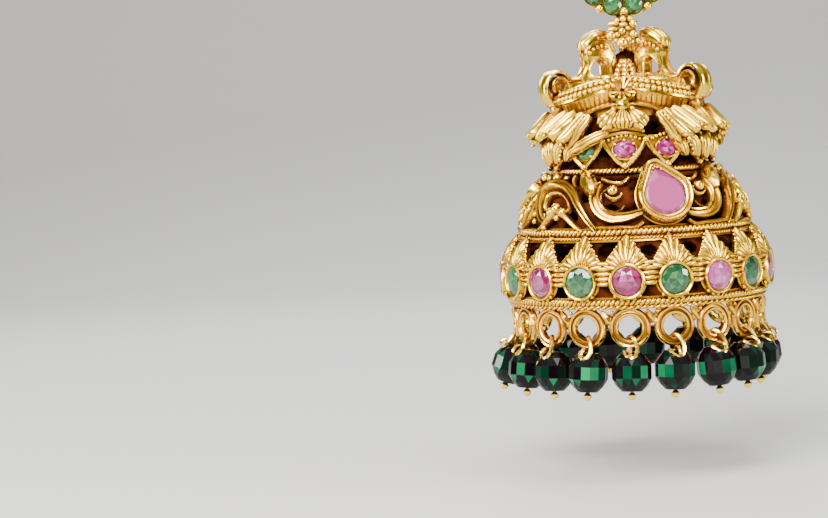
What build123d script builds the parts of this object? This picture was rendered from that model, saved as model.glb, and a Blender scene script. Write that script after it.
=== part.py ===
from build123d import *
from math import cos, exp, radians, sin
import os

# Jhumka earring: a round ear stud, a link ring, a three-bracket crown, an openwork bell and a bead fringe.
# Millimetres, +Z up. The origin is the root of the ear post, at the middle of the stud's back. The stud
# faces -Y and the post runs along +Y. The drop is round about the Z axis, and its heights are given as
# drops below the stud's lowest point. An azimuth is an angle about Z from the front, towards +X.

os.makedirs("parts", exist_ok=True)

# --- Driving dimensions ---------------------------------------------------------------------------------

GAP = 0.05  # between a stone and its seat, and between two pieces that are fitted together
PHASE = -4.0  # azimuth of the first band stone, of the first hoop and of the crown's front

# Stud
STUD_R = 5.4
PLATE_T = 0.8
STUD_COUNT = 12
STUD_ROW_R = 4.15
STUD_BEZEL_R = 1.07
STUD_STONE_R = 0.95
SETTING_H = 1.1
SETTING_FLOOR = 0.3
CENTRE_BEZEL_R = 2.95
CENTRE_STONE_R = 2.65
STUD_GRANULE_ROW_R = 4.95
STUD_GRANULE_R = 0.45

# Flower of granules below the stud, on its tongue
FLOWER_X = -0.25
FLOWER_DROP = 1.7
FLOWER_Y = -2.95
FLOWER_ROW_R = 1.1
FLOWER_BALL_R = 0.5
FLOWER_PLATE_R = 1.25
FLOWER_PLATE_T = 0.4
TONGUE_W = 1.6
TONGUE_TOP_DROP = -0.35
TONGUE_LOW_DROP = 0.75
TONGUE_BACK_Y = -0.55

# Ear post and its round nut
POST_R = 0.5
POST_L = 10.0
POST_FLANGE_R = 1.2
POST_FLANGE_T = 0.4
NUT_R = 2.75
NUT_Y = 6.0
NUT_T = 2.2

# Chain of the stud's eye, the link ring and the crown's eye: ring radius to the wire's centre, wire
# radius, and drop of the ring's centre
STUD_EYE_R, STUD_EYE_WIRE_R, STUD_EYE_DROP = 0.75, 0.22, 0.15
LINK_R, LINK_WIRE_R, LINK_DROP = 0.95, 0.25, 1.34
CROWN_EYE_R, CROWN_EYE_WIRE_R, CROWN_EYE_DROP = 0.75, 0.25, 2.50

# Crown
BRACKETS = 3
BRACKET_PHASE = PHASE + 60.0
BRACKET_T = 1.5
WING_ARC = 108.0
LEAF_ARC = 34.0
LEAF_OFFSET = 31.0
CROWN_STONE_COUNT = 12
CROWN_STONE_DROP = 13.5
CROWN_STONE_FACE_R = 8.35
CROWN_STONE_W, CROWN_STONE_H = 2.2, 1.8
CROWN_BEZEL_RIM = 0.32
CROWN_BEZEL_DEPTH = 1.3
CROWN_SEAT_DEPTH = 0.7
CROWN_ROPE_R, CROWN_ROPE_WIRE_R, CROWN_ROPE_DROP = 7.85, 0.35, 15.3
CROWN_FOOT_DROP = 15.65

# Bell: the dome, the ropes and the band
DOME_TOP_DROP = CROWN_FOOT_DROP + GAP
DOME_FOOT_DROP = 21.2
BAND_TOP_DROP = 21.7
BAND_FOOT_DROP = 28.4
MID_ROPE_R, MID_ROPE_WIRE_R, MID_ROPE_DROP = 11.55, 0.38, 21.2
MID_WIRE_R, MID_WIRE_WIRE_R, MID_WIRE_DROP = 11.6, 0.22, 21.75
LOW_ROPE_R, LOW_ROPE_WIRE_R, LOW_ROPE_DROP = 12.95, 0.38, 28.05
LOW_WIRE_R, LOW_WIRE_WIRE_R, LOW_WIRE_DROP = 12.85, 0.34, 28.5

# Pear settings of the dome
PEAR_COUNT = 2
PEAR_AZIMUTH = 16.0
PEAR_DROP = 17.4
PEAR_PLANE_R = 10.6
PEAR_LEAN = 22.0
PEAR_ROLL = 14.0
PEAR_BELLY_R, PEAR_BELLY_Y = 2.3, -0.55
PEAR_TIP_R, PEAR_TIP_Y = 0.55, 2.25
PEAR_RIM = 0.42
PEAR_BACK, PEAR_FRONT = 0.9, 0.85
PEAR_SEAT_DEPTH = 0.8

# Band stones
BAND_COUNT = 18
BAND_STEP = 360.0 / BAND_COUNT
BAND_STONE_R = 1.42
BAND_BEZEL_R = 1.68
BAND_STONE_DROP = 25.9
BAND_FACE_R = 13.95
BAND_BEZEL_DEPTH = 1.1
BAND_SEAT_DEPTH = 0.75
UPPER_WINDOW_R, UPPER_WINDOW_DROP = 0.85, 22.95
LOWER_WINDOW_R, LOWER_WINDOW_DROP = 0.62, 27.0

# Hoops and their spacers
HOOP_R, HOOP_DROP = 12.5, 30.55
HOOP_OUTER_R, HOOP_HOLE_R = 2.05, 1.15
HOOP_T = 0.6
HOOP_CHAMFER = 0.24
SPACER_R, SPACER_DROP = 0.45, 29.7

# Hangers and beads
HANGER_WIRE = 0.4
HANGER_W, HANGER_TOP_DROP, HANGER_FOOT_DROP = 1.85, 31.2, 33.3
HANGER_TWIST = 30.0
FLARE_INDEX, FLARE_MOST = 14, 15.0
BEAD_R, BEAD_H = 1.85, 3.7
BEAD_END_R, BEAD_BELT_H = 1.15, 1.7
BEAD_SIDES = 10
BEAD_BORE_R = 0.3
PIN_R = 0.2
PIN_BALL_R = 0.42


def height(drop):
    """Z of a drop below the stud's lowest point."""
    return -STUD_R - drop


def outward(azimuth):
    """Horizontal unit vector away from the drop's axis."""
    return Vector(sin(radians(azimuth)), -cos(radians(azimuth)), 0)


def face_plane(azimuth, radius, drop, lean=0.0, roll=0.0):
    """Plane seen from outside the drop: X right, Y up, leaned back by lean and rolled left by roll."""
    out = outward(azimuth)
    normal = out * cos(radians(lean)) + Vector(0, 0, sin(radians(lean)))
    right = Vector(0, 0, 1).cross(out)
    plane = Plane(origin=out * radius + Vector(0, 0, height(drop)), x_dir=right, z_dir=normal)
    return plane.rotated((0, 0, roll))


def side_plane(azimuth):
    """Plane through the axis: X is the radius at that azimuth and Y is Z."""
    out = outward(azimuth)
    return Plane(origin=(0, 0, 0), x_dir=out, z_dir=out.cross(Vector(0, 0, 1)))


def points(rows):
    """Sketch points of rows of (radius, drop)."""
    return [(radius, height(drop)) for radius, drop in rows]


def write(part, label):
    """Labels a finished piece and writes its STEP file."""
    part.label = label
    export_step(part, f"parts/{label}.step")


# --- Stud -----------------------------------------------------------------------------------------------

setting_face = Plane.XZ.offset(PLATE_T + SETTING_H)
stone_turn = -90 + 180 / STUD_COUNT

with BuildPart() as stud_setting:
    with BuildSketch(Plane.XZ):
        Circle(STUD_R)
    extrude(amount=PLATE_T)
    with BuildSketch(Plane.XZ.offset(PLATE_T)):
        Circle(CENTRE_BEZEL_R)
        with PolarLocations(STUD_ROW_R, STUD_COUNT, start_angle=stone_turn):
            Circle(STUD_BEZEL_R)
    extrude(amount=SETTING_H)
    with BuildSketch(Plane.XZ.offset(PLATE_T + SETTING_FLOOR)):
        Circle(CENTRE_STONE_R + GAP)
        with PolarLocations(STUD_ROW_R, STUD_COUNT, start_angle=stone_turn):
            Circle(STUD_STONE_R + GAP)
    extrude(amount=SETTING_H, mode=Mode.SUBTRACT)
    with Locations(setting_face):
        with PolarLocations(STUD_GRANULE_ROW_R, STUD_COUNT, start_angle=-90):
            Sphere(STUD_GRANULE_R)
    # tongue, flower plate and flower
    with Locations((0, (TONGUE_BACK_Y + FLOWER_Y) / 2, height((TONGUE_TOP_DROP + TONGUE_LOW_DROP) / 2))):
        Box(TONGUE_W, TONGUE_BACK_Y - FLOWER_Y, TONGUE_LOW_DROP - TONGUE_TOP_DROP)
    with BuildSketch(Plane.XZ.offset(-FLOWER_Y - FLOWER_PLATE_T / 2)):
        with Locations((FLOWER_X, height(FLOWER_DROP))):
            Circle(FLOWER_PLATE_R)
    extrude(amount=FLOWER_PLATE_T)
    with Locations(Location((FLOWER_X, FLOWER_Y, height(FLOWER_DROP)), (90, 0, 0))):
        Sphere(FLOWER_BALL_R)
        with PolarLocations(FLOWER_ROW_R, 6, start_angle=90):
            Sphere(FLOWER_BALL_R)
    # eye for the link ring
    with Locations(Location((0, 0, height(STUD_EYE_DROP)), (0, 90, 0))):
        Torus(STUD_EYE_R, STUD_EYE_WIRE_R)
write(stud_setting.part, "stud_setting")


def stone_profile(radius, depth, rise):
    """Half profile of a round cut stone, on (radius, height), with its girdle at zero."""
    Polyline(
        (0, -depth),
        (0.55 * radius, -depth),
        (radius, 0),
        (radius, 0.25 * rise),
        (0.6 * radius, rise),
        (0, rise),
        close=True,
    )


stud_girdle_y = PLATE_T + SETTING_H
stud_stone_depth = SETTING_H - SETTING_FLOOR - GAP

with BuildPart() as stud_stone:
    with BuildSketch(Plane.XZ):
        with BuildLine():
            stone_profile(STUD_STONE_R, stud_stone_depth, 0.35)
        make_face()
    revolve(axis=Axis.Z)

with BuildPart() as stud_stones:
    with Locations(Plane.XZ.offset(stud_girdle_y)):
        with PolarLocations(STUD_ROW_R, STUD_COUNT, start_angle=stone_turn):
            add(stud_stone.part)
write(stud_stones.part, "stud_stones")

with BuildPart() as stud_centre_stone:
    with BuildSketch(Plane.XZ.offset(PLATE_T + SETTING_FLOOR + GAP)):
        Circle(CENTRE_STONE_R)
    extrude(amount=stud_stone_depth + 0.5)
    fillet(stud_centre_stone.faces().sort_by(Axis.Y)[0].edges(), radius=0.6)
write(stud_centre_stone.part, "stud_centre_stone")

with BuildPart() as ear_post:
    with BuildSketch(Plane.XZ.offset(-GAP)):
        Circle(POST_FLANGE_R)
    extrude(amount=-POST_FLANGE_T)
    with BuildSketch(Plane.XZ.offset(-GAP)):
        Circle(POST_R)
    extrude(amount=-POST_L)
    with BuildSketch(Plane.XZ.offset(-NUT_Y)):
        Circle(NUT_R)
    extrude(amount=-NUT_T)
    fillet(ear_post.faces().sort_by(Axis.Y)[-1].edges(), radius=0.15)
write(ear_post.part, "ear_post")

with BuildPart() as link_ring:
    with Locations(Location((0, 0, height(LINK_DROP)), (90, 0, 0))):
        Torus(LINK_R, LINK_WIRE_R)
write(link_ring.part, "link_ring")

# --- Crown ----------------------------------------------------------------------------------------------

# outline of the cap on (radius, drop), from the column's top down the outside and back up the inside
CAP_OUTLINE = [
    (0, 3.35),
    (0.9, 3.35),
    (1.3, 3.8),
    (1.35, 6.3),
    (3.0, 6.9),
    (6.4, 7.6),
    (8.0, 8.4),
    (8.3, 9.4),
    (8.0, 10.4),
    (8.1, 12.0),
    (7.9, 13.6),
    (7.8, CROWN_FOOT_DROP),
    (7.1, CROWN_FOOT_DROP),
    (7.2, 13.6),
    (7.4, 12.0),
    (7.3, 10.4),
    (7.5, 9.4),
    (7.2, 8.9),
    (6.0, 8.3),
    (0, 7.5),
]
# one S bracket in its radial plane, on (radius, drop)
BRACKET_OUTLINE = [
    (1.0, 6.6),
    (1.5, 3.4),
    (2.0, 1.9),
    (3.2, 1.5),
    (4.6, 2.1),
    (5.1, 2.9),
    (4.8, 3.6),
    (5.0, 5.0),
    (6.2, 6.1),
    (7.6, 6.2),
    (8.2, 8.2),
    (5.0, 7.8),
    (1.0, 7.2),
]
BRACKET_HOLE = (3.1, 5.0, 0.85)
VOLUTE = (8.1, 6.9, 1.7, 0.7)
WING_SECTION = [(7.0, 7.8), (8.7, 7.3), (9.5, 8.2), (9.3, 9.5), (8.4, 10.3), (7.7, 10.2)]
LEAF_SECTION = [(7.8, 10.1), (8.9, 10.5), (10.3, 12.2), (9.9, 12.5), (8.6, 12.2), (7.8, 12.3)]

with BuildPart() as cap:
    with BuildSketch(Plane.XZ):
        with BuildLine():
            Polyline(*points(CAP_OUTLINE), close=True)
        make_face()
    revolve(axis=Axis.Z)
    with Locations((0, 0, height(CROWN_ROPE_DROP))):
        Torus(CROWN_ROPE_R, CROWN_ROPE_WIRE_R)
    with Locations(Location((0, 0, height(CROWN_EYE_DROP)), (0, 90, 0))):
        Torus(CROWN_EYE_R, CROWN_EYE_WIRE_R)

with BuildPart() as bracket:
    with BuildSketch(side_plane(BRACKET_PHASE)):
        with BuildLine():
            Polyline(*points(BRACKET_OUTLINE), close=True)
        make_face()
        hole_r, hole_drop, hole_size = BRACKET_HOLE
        volute_r, volute_drop, volute_size, curl_size = VOLUTE
        with Locations((volute_r, height(volute_drop))):
            Circle(volute_size)
            Circle(curl_size, mode=Mode.SUBTRACT)
        with Locations((hole_r, height(hole_drop))):
            Circle(hole_size, mode=Mode.SUBTRACT)
    extrude(amount=BRACKET_T / 2, both=True)
    with BuildSketch(side_plane(BRACKET_PHASE - WING_ARC / 2)):
        with BuildLine():
            Polyline(*points(WING_SECTION), close=True)
        make_face()
    revolve(axis=Axis.Z, revolution_arc=WING_ARC)
    for leaf_middle in (-LEAF_OFFSET, LEAF_OFFSET):
        with BuildSketch(side_plane(BRACKET_PHASE + leaf_middle - LEAF_ARC / 2)):
            with BuildLine():
                Polyline(*points(LEAF_SECTION), close=True)
            make_face()
        revolve(axis=Axis.Z, revolution_arc=LEAF_ARC)

with BuildPart() as crown_bezel:
    with BuildSketch(face_plane(PHASE, CROWN_STONE_FACE_R, CROWN_STONE_DROP)):
        Ellipse(CROWN_STONE_W / 2 + GAP + CROWN_BEZEL_RIM, CROWN_STONE_H / 2 + GAP + CROWN_BEZEL_RIM)
    extrude(amount=-CROWN_BEZEL_DEPTH)

with BuildPart() as crown_seat:
    with BuildSketch(face_plane(PHASE, CROWN_STONE_FACE_R, CROWN_STONE_DROP)):
        Ellipse(CROWN_STONE_W / 2 + GAP, CROWN_STONE_H / 2 + GAP)
    extrude(amount=-CROWN_SEAT_DEPTH)

with BuildPart() as crown_stone:
    crown_stone_back = face_plane(PHASE, CROWN_STONE_FACE_R - CROWN_SEAT_DEPTH + GAP, CROWN_STONE_DROP)
    with BuildSketch(crown_stone_back):
        Ellipse(CROWN_STONE_W / 2, CROWN_STONE_H / 2)
    extrude(amount=CROWN_SEAT_DEPTH + 0.15)
    chamfer(crown_stone.faces().sort_by(Axis((0, 0, 0), outward(PHASE)))[-1].edges(), length=0.2)

with BuildPart() as crown:
    add(cap.part)
    with PolarLocations(0, BRACKETS):
        add(bracket.part)
    with PolarLocations(0, CROWN_STONE_COUNT):
        add(crown_bezel.part)
    with PolarLocations(0, CROWN_STONE_COUNT):
        add(crown_seat.part, mode=Mode.SUBTRACT)
write(crown.part, "crown")

# the row's stones run green, pink, pink
with BuildPart() as crown_stones_green:
    with PolarLocations(0, CROWN_STONE_COUNT // 3, start_angle=-30):
        add(crown_stone.part)
write(crown_stones_green.part, "crown_stones_green")

with BuildPart() as crown_stones_pink:
    for pink_start in (0, 30):
        with PolarLocations(0, CROWN_STONE_COUNT // 3, start_angle=pink_start):
            add(crown_stone.part)
write(crown_stones_pink.part, "crown_stones_pink")

# --- Bell -----------------------------------------------------------------------------------------------

DOME_OUTER = [(8.3, DOME_TOP_DROP), (10.6, 17.9), (11.5, DOME_FOOT_DROP)]
DOME_INNER = [(7.4, DOME_TOP_DROP), (9.9, 18.2), (10.8, DOME_FOOT_DROP)]
BAND_OUTER = [(11.6, BAND_TOP_DROP), (13.4, 25.0), (13.1, BAND_FOOT_DROP)]
BAND_INNER = [(10.9, BAND_TOP_DROP), (12.7, 25.1), (12.4, BAND_FOOT_DROP)]
# dome windows either side of each pear: (azimuth from the pear, drop, radius)
DOME_WINDOWS = [(28, 19.1, 0.95), (44, 17.3, 0.7), (51, 19.6, 0.8), (69, 19.6, 0.8), (76, 17.3, 0.7)]

with BuildPart() as bell_shell:
    with BuildSketch(side_plane(PHASE + BAND_STEP / 2)):
        with BuildLine():
            ThreePointArc(*points(DOME_OUTER))
            Line(points(DOME_OUTER)[-1], points(BAND_OUTER)[0])
            ThreePointArc(*points(BAND_OUTER))
            Line(points(BAND_OUTER)[-1], points(BAND_INNER)[-1])
            ThreePointArc(*points(BAND_INNER))
            Line(points(BAND_INNER)[0], points(DOME_INNER)[-1])
            ThreePointArc(*points(DOME_INNER))
            Line(points(DOME_INNER)[0], points(DOME_OUTER)[0])
        make_face()
    revolve(axis=Axis.Z)
    for ring_r, wire_r, drop in (
        (MID_ROPE_R, MID_ROPE_WIRE_R, MID_ROPE_DROP),
        (MID_WIRE_R, MID_WIRE_WIRE_R, MID_WIRE_DROP),
        (LOW_ROPE_R, LOW_ROPE_WIRE_R, LOW_ROPE_DROP),
        (LOW_WIRE_R, LOW_WIRE_WIRE_R, LOW_WIRE_DROP),
    ):
        with Locations((0, 0, height(drop))):
            Torus(ring_r, wire_r)

with BuildPart() as dome_window:
    for offset_azimuth, drop, radius in DOME_WINDOWS:
        for side in (-1, 1):
            with BuildSketch(face_plane(PEAR_AZIMUTH + side * offset_azimuth, STUD_R, drop)):
                Circle(radius)
            extrude(amount=2 * STUD_R)

with BuildPart() as band_windows:
    upper_plane = face_plane(PHASE + BAND_STEP / 2, STUD_R, UPPER_WINDOW_DROP)
    with BuildSketch(upper_plane):
        RegularPolygon(UPPER_WINDOW_R, 3, rotation=-90)
    extrude(amount=2 * STUD_R)
    lower_plane = face_plane(PHASE + BAND_STEP / 2, STUD_R, LOWER_WINDOW_DROP)
    with BuildSketch(lower_plane):
        RegularPolygon(LOWER_WINDOW_R, 3, rotation=90)
    extrude(amount=2 * STUD_R)

pear_plane = face_plane(PEAR_AZIMUTH, PEAR_PLANE_R, PEAR_DROP, PEAR_LEAN, PEAR_ROLL)


def pear_outline(margin):
    """Outline of the pear stone, grown by a margin."""
    with Locations((0, PEAR_BELLY_Y)):
        Circle(PEAR_BELLY_R + margin)
    with Locations((0, PEAR_TIP_Y)):
        Circle(PEAR_TIP_R + margin)
    make_hull()


with BuildPart() as pear_bezel:
    with BuildSketch(pear_plane.offset(-PEAR_BACK)):
        pear_outline(GAP + PEAR_RIM)
    extrude(amount=PEAR_BACK + PEAR_FRONT)

with BuildPart() as pear_seat:
    with BuildSketch(pear_plane.offset(PEAR_FRONT - PEAR_SEAT_DEPTH)):
        pear_outline(GAP)
    extrude(amount=PEAR_SEAT_DEPTH)

with BuildPart() as band_bezel:
    with BuildSketch(face_plane(PHASE, BAND_FACE_R, BAND_STONE_DROP)):
        Circle(BAND_BEZEL_R)
    extrude(amount=-BAND_BEZEL_DEPTH)

with BuildPart() as band_seat:
    with BuildSketch(face_plane(PHASE, BAND_FACE_R, BAND_STONE_DROP)):
        Circle(BAND_STONE_R + GAP)
    extrude(amount=-BAND_SEAT_DEPTH)

with BuildPart() as hoop:
    with BuildSketch(face_plane(PHASE, HOOP_R - HOOP_T / 2, HOOP_DROP)):
        Circle(HOOP_OUTER_R)
        Circle(HOOP_HOLE_R, mode=Mode.SUBTRACT)
    extrude(amount=HOOP_T)
    chamfer(hoop.edges().filter_by(GeomType.CIRCLE), length=HOOP_CHAMFER)
    spacer_spot = outward(PHASE + BAND_STEP / 2) * HOOP_R * cos(radians(BAND_STEP / 2))
    with Locations(spacer_spot + Vector(0, 0, height(SPACER_DROP))):
        Sphere(SPACER_R)

# the copies are added with no cleaning, which would merge faces across the shell's seam
with BuildPart() as bell:
    add(bell_shell.part)
    for fitting, count in ((band_bezel, BAND_COUNT), (hoop, BAND_COUNT), (pear_bezel, PEAR_COUNT)):
        with PolarLocations(0, count):
            add(fitting.part, clean=False)
    for opening, count in (
        (band_seat, BAND_COUNT),
        (pear_seat, PEAR_COUNT),
        (band_windows, BAND_COUNT),
        (dome_window, PEAR_COUNT),
    ):
        with PolarLocations(0, count):
            add(opening.part, clean=False, mode=Mode.SUBTRACT)
write(bell.part, "bell")

# --- Stones of the bell ---------------------------------------------------------------------------------

with BuildPart() as pear_stone:
    with BuildSketch(pear_plane.offset(PEAR_FRONT - PEAR_SEAT_DEPTH + GAP)):
        pear_outline(0)
    extrude(amount=PEAR_SEAT_DEPTH - GAP)
    chamfer(pear_stone.faces().sort_by(Axis(pear_plane.origin, pear_plane.z_dir))[-1].edges(), length=0.2)

for index in range(PEAR_COUNT):
    turned = pear_stone.part.rotate(Axis.Z, index * 360 / PEAR_COUNT)
    write(turned, f"pear_stone_{index + 1}")

with BuildPart() as band_stone:
    with BuildSketch(Plane.XZ):
        with BuildLine():
            stone_profile(BAND_STONE_R, BAND_SEAT_DEPTH - GAP, 0.3)
        make_face()
    revolve(axis=Axis.Z)

for index in range(BAND_COUNT):
    seat = face_plane(PHASE + index * BAND_STEP, BAND_FACE_R, BAND_STONE_DROP)
    write(band_stone.part.moved(seat.location), f"band_stone_{index + 1:02d}")

# --- Hangers and beads ----------------------------------------------------------------------------------

bar_drop = HOOP_DROP + (HOOP_HOLE_R + HOOP_OUTER_R) / 2
bead_top_drop = HANGER_FOOT_DROP + GAP
bead_middle_drop = bead_top_drop + BEAD_H / 2
pin_top_drop = HANGER_FOOT_DROP - HANGER_WIRE / 2
pin_foot_drop = bead_top_drop + BEAD_H + GAP + PIN_BALL_R


def sway(index):
    """Sideways lean of a hanger about its hoop, in degrees."""
    return 3.0 * sin(1.9 * index + 0.4)


def flare(index):
    """Outward lean of a hanger about its hoop, in degrees. One bead near the left side stands out most."""
    return 3.5 + 2.5 * sin(2.7 * index + 1.0) + FLARE_MOST * exp(-((index - FLARE_INDEX) ** 2))


with BuildPart() as bead:
    for low, high, low_r, high_r in (
        (-BEAD_H / 2, -BEAD_BELT_H / 2, BEAD_END_R, BEAD_R),
        (-BEAD_BELT_H / 2, BEAD_BELT_H / 2, BEAD_R, BEAD_R),
        (BEAD_BELT_H / 2, BEAD_H / 2, BEAD_R, BEAD_END_R),
    ):
        with BuildSketch(Plane.XY.offset(low)):
            RegularPolygon(low_r, BEAD_SIDES)
        with BuildSketch(Plane.XY.offset(high)):
            RegularPolygon(high_r, BEAD_SIDES)
        loft(ruled=True)
    Cylinder(BEAD_BORE_R, 2 * BEAD_H, mode=Mode.SUBTRACT)

with BuildPart() as hanger:
    loop_h = HANGER_FOOT_DROP - HANGER_TOP_DROP
    with BuildSketch(Plane.XZ):
        with Locations((0, -loop_h / 2)):
            SlotOverall(loop_h, HANGER_W, rotation=90)
            inner_h, inner_w = loop_h - 2 * HANGER_WIRE, HANGER_W - 2 * HANGER_WIRE
            SlotOverall(inner_h, inner_w, rotation=90, mode=Mode.SUBTRACT)
    extrude(amount=HANGER_WIRE / 2, both=True)
    with BuildSketch(Plane.XY.offset(HANGER_TOP_DROP - pin_foot_drop)):
        Circle(PIN_R)
    extrude(amount=pin_foot_drop - pin_top_drop)
    with Locations((0, 0, HANGER_TOP_DROP - pin_foot_drop)):
        Sphere(PIN_BALL_R)


def hung(index, below_bar):
    """Place of a thing hung below_bar under the hoop's bar: Z along its pin, turned by the twist."""
    bar = face_plane(PHASE + index * BAND_STEP, HOOP_R, bar_drop)
    flared = bar.location * Location((0, 0, 0), (-90 - flare(index), 0, 0))
    swayed = flared * Location((0, 0, 0), (0, sway(index), 0))
    return swayed * Location((0, 0, -below_bar), (0, 0, 90 + HANGER_TWIST))


with BuildPart() as bead_hangers:
    for index in range(BAND_COUNT):
        add(hanger.part.moved(hung(index, HANGER_TOP_DROP - bar_drop)))
write(bead_hangers.part, "bead_hangers")

for index in range(BAND_COUNT):
    place = hung(index, bead_middle_drop - bar_drop)
    write(bead.part.moved(place), f"bead_{index + 1:02d}")
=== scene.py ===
"""Looks of a jhumka earring: gold filigree, cut stones and a fringe of faceted glass beads.

Every size in the classes below is in millimetres, and a mesh is turned to metres when it is made.
Heights are drops below the stud's lowest point, and an azimuth is an angle about the drop's axis,
from the front towards +X.
"""
import logging
import math
from dataclasses import dataclass, field
from enum import Enum
from functools import cached_property
from typing import ClassVar, Iterable, Sequence

import bmesh
import bpy
import numpy as np
from mathutils import Matrix, Vector


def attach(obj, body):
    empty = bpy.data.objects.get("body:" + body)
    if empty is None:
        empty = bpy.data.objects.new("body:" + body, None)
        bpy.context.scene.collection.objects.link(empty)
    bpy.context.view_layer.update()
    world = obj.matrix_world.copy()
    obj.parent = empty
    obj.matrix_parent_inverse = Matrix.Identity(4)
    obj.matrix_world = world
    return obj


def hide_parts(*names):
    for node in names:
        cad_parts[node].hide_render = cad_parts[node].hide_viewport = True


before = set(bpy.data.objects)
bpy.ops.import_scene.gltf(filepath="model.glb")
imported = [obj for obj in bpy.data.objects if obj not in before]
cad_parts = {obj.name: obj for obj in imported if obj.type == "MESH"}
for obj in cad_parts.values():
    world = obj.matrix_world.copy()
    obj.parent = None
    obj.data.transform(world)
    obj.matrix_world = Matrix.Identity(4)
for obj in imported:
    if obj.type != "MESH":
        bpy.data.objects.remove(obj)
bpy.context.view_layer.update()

LOG = logging.getLogger("jhumka")

Array = np.ndarray
Pair = tuple[float, float]
Triple = tuple[float, float, float]
Quad = tuple[float, float, float, float]
Numbers = float | Array

MM = 0.001
TURN = 2 * math.pi
STUD_R = 5.4  # from the origin, the stud's middle, to its lowest point
PHASE = -4.0  # azimuth of the first of the things that stand evenly round the drop
SEED = 11
SIDES = (-1, 1)
MERGE = 1e-7  # points nearer than this, in metres, become one
TABLE_COSINE = 0.985  # a facet belongs to a stone's table from this cosine to its axis
PANES, PANE_TALL = 432, 0.16  # panes round a pierced wall, and the height of one
SAMPLES_PER_TURN = 9  # points of a rope's strand for each of its turns


class Slot(Enum):
    """Material slots of the record."""

    GOLD = "gold"
    GREEN = "green_stone"
    PINK = "pink_stone"
    BEAD = "dark_green_bead"


class Body(Enum):
    """Bodies that a piece can ride on."""

    STUD = "stud"
    LINK = "link"
    DROP = "drop"


# --- Places ---


def spot(azimuth: Numbers, radius: Numbers, drop: Numbers, aside: Numbers = 0.0) -> Array:
    """Point of the drop.

    Args:
        azimuth: Angle about the axis, in degrees.
        radius: Distance from the axis.
        drop: Height below the stud's lowest point.
        aside: Offset square to the radius, towards a larger azimuth.

    Returns:
        Points as rows of x, y, z.
    """
    azimuth, radius, drop, aside = np.broadcast_arrays(*map(np.asarray, (azimuth, radius, drop, aside)))
    turn = np.radians(azimuth.astype(float))
    x = radius * np.sin(turn) + aside * np.cos(turn)
    y = -radius * np.cos(turn) + aside * np.sin(turn)
    return np.stack([x, y, -STUD_R - drop], -1)


def azimuth_of(index: float, count: int) -> float:
    """Azimuth of one of several things that stand evenly round the drop, in degrees."""
    return PHASE + 360 / count * index


def facing(azimuth: float, radius: float, drop: float, lean: float = 0.0, roll: float = 0.0) -> Matrix:
    """Frame with its Z out of the drop, X to the right as seen from outside and Y up.

    Args:
        azimuth: Angle about the axis, in degrees.
        radius: Distance from the axis.
        drop: Height below the stud's lowest point.
        lean: Tilt of Z above the horizontal, in degrees.
        roll: Turn about Z, in degrees.

    Returns:
        The frame's matrix.
    """
    origin = Vector(spot(azimuth, radius, drop))
    out = Vector(spot(azimuth, 1.0, -STUD_R))
    right = Vector((0, 0, 1)).cross(out)
    normal = out * math.cos(math.radians(lean)) + Vector((0, 0, math.sin(math.radians(lean))))
    up = normal.cross(right)
    turned = Matrix((right, up, normal)).transposed().to_4x4()
    return Matrix.Translation(origin) @ turned @ Matrix.Rotation(math.radians(roll), 4, "Z")


def smooth(points: Sequence, per: int = 6, closed: bool = False) -> Array:
    """Catmull-Rom curve through points.

    Args:
        points: Rows of coordinates.
        per: Steps between two of the points.
        closed: Whether the curve comes back to its start.

    Returns:
        Points along the curve.
    """
    p = np.asarray(points, float)
    n = len(p)
    spans = n if closed else n - 1
    rows = []
    for i in range(spans):
        if closed:
            a, b, c, d = p[i - 1], p[i], p[(i + 1) % n], p[(i + 2) % n]
        else:
            a, b, c, d = p[max(i - 1, 0)], p[i], p[i + 1], p[min(i + 2, n - 1)]
        t = np.linspace(0, 1, per, endpoint=False)[:, None]
        bend, twist = 2 * a - 5 * b + 4 * c - d, 3 * b - a - 3 * c + d
        rows.append(0.5 * (2 * b + (c - a) * t + bend * t**2 + twist * t**3))
    if not closed:
        rows.append(p[-1:])
    return np.concatenate(rows)


def taper(path: Sequence, shares: Sequence[float], sizes: Sequence[float]) -> Array:
    """Sizes at a path's points, from the sizes at some shares of its length."""
    return np.interp(np.linspace(0, 1, len(path)), shares, sizes)


def oval(wide: float, tall: float, steps: int = 32) -> Array:
    """Outline of an oval from its half width and half height, anticlockwise."""
    angle = np.arange(steps) * TURN / steps
    return np.column_stack([wide * np.cos(angle), tall * np.sin(angle)])


def at_height(outline: Array, height: float) -> Array:
    """Points of a flat outline at one height."""
    return np.column_stack([outline, np.full(len(outline), height)])


def teardrop(belly_r: float, belly_y: float, tip_r: float, tip_y: float, steps: int = 40) -> Array:
    """Outline round two circles on one upright line.

    Args:
        belly_r: Radius of the lower circle.
        belly_y: Height of the lower circle.
        tip_r: Radius of the upper circle.
        tip_y: Height of the upper circle.
        steps: Points of the outline.

    Returns:
        Rows of x, y, anticlockwise.
    """
    lean = math.asin((belly_r - tip_r) / (tip_y - belly_y))
    arcs = (
        (tip_r, tip_y, np.linspace(lean, math.pi - lean, steps // 4)),
        (belly_r, belly_y, np.linspace(math.pi - lean, TURN + lean, steps - steps // 4)),
    )
    return np.vstack([np.column_stack([r * np.cos(angle), y + r * np.sin(angle)]) for r, y, angle in arcs])


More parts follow.
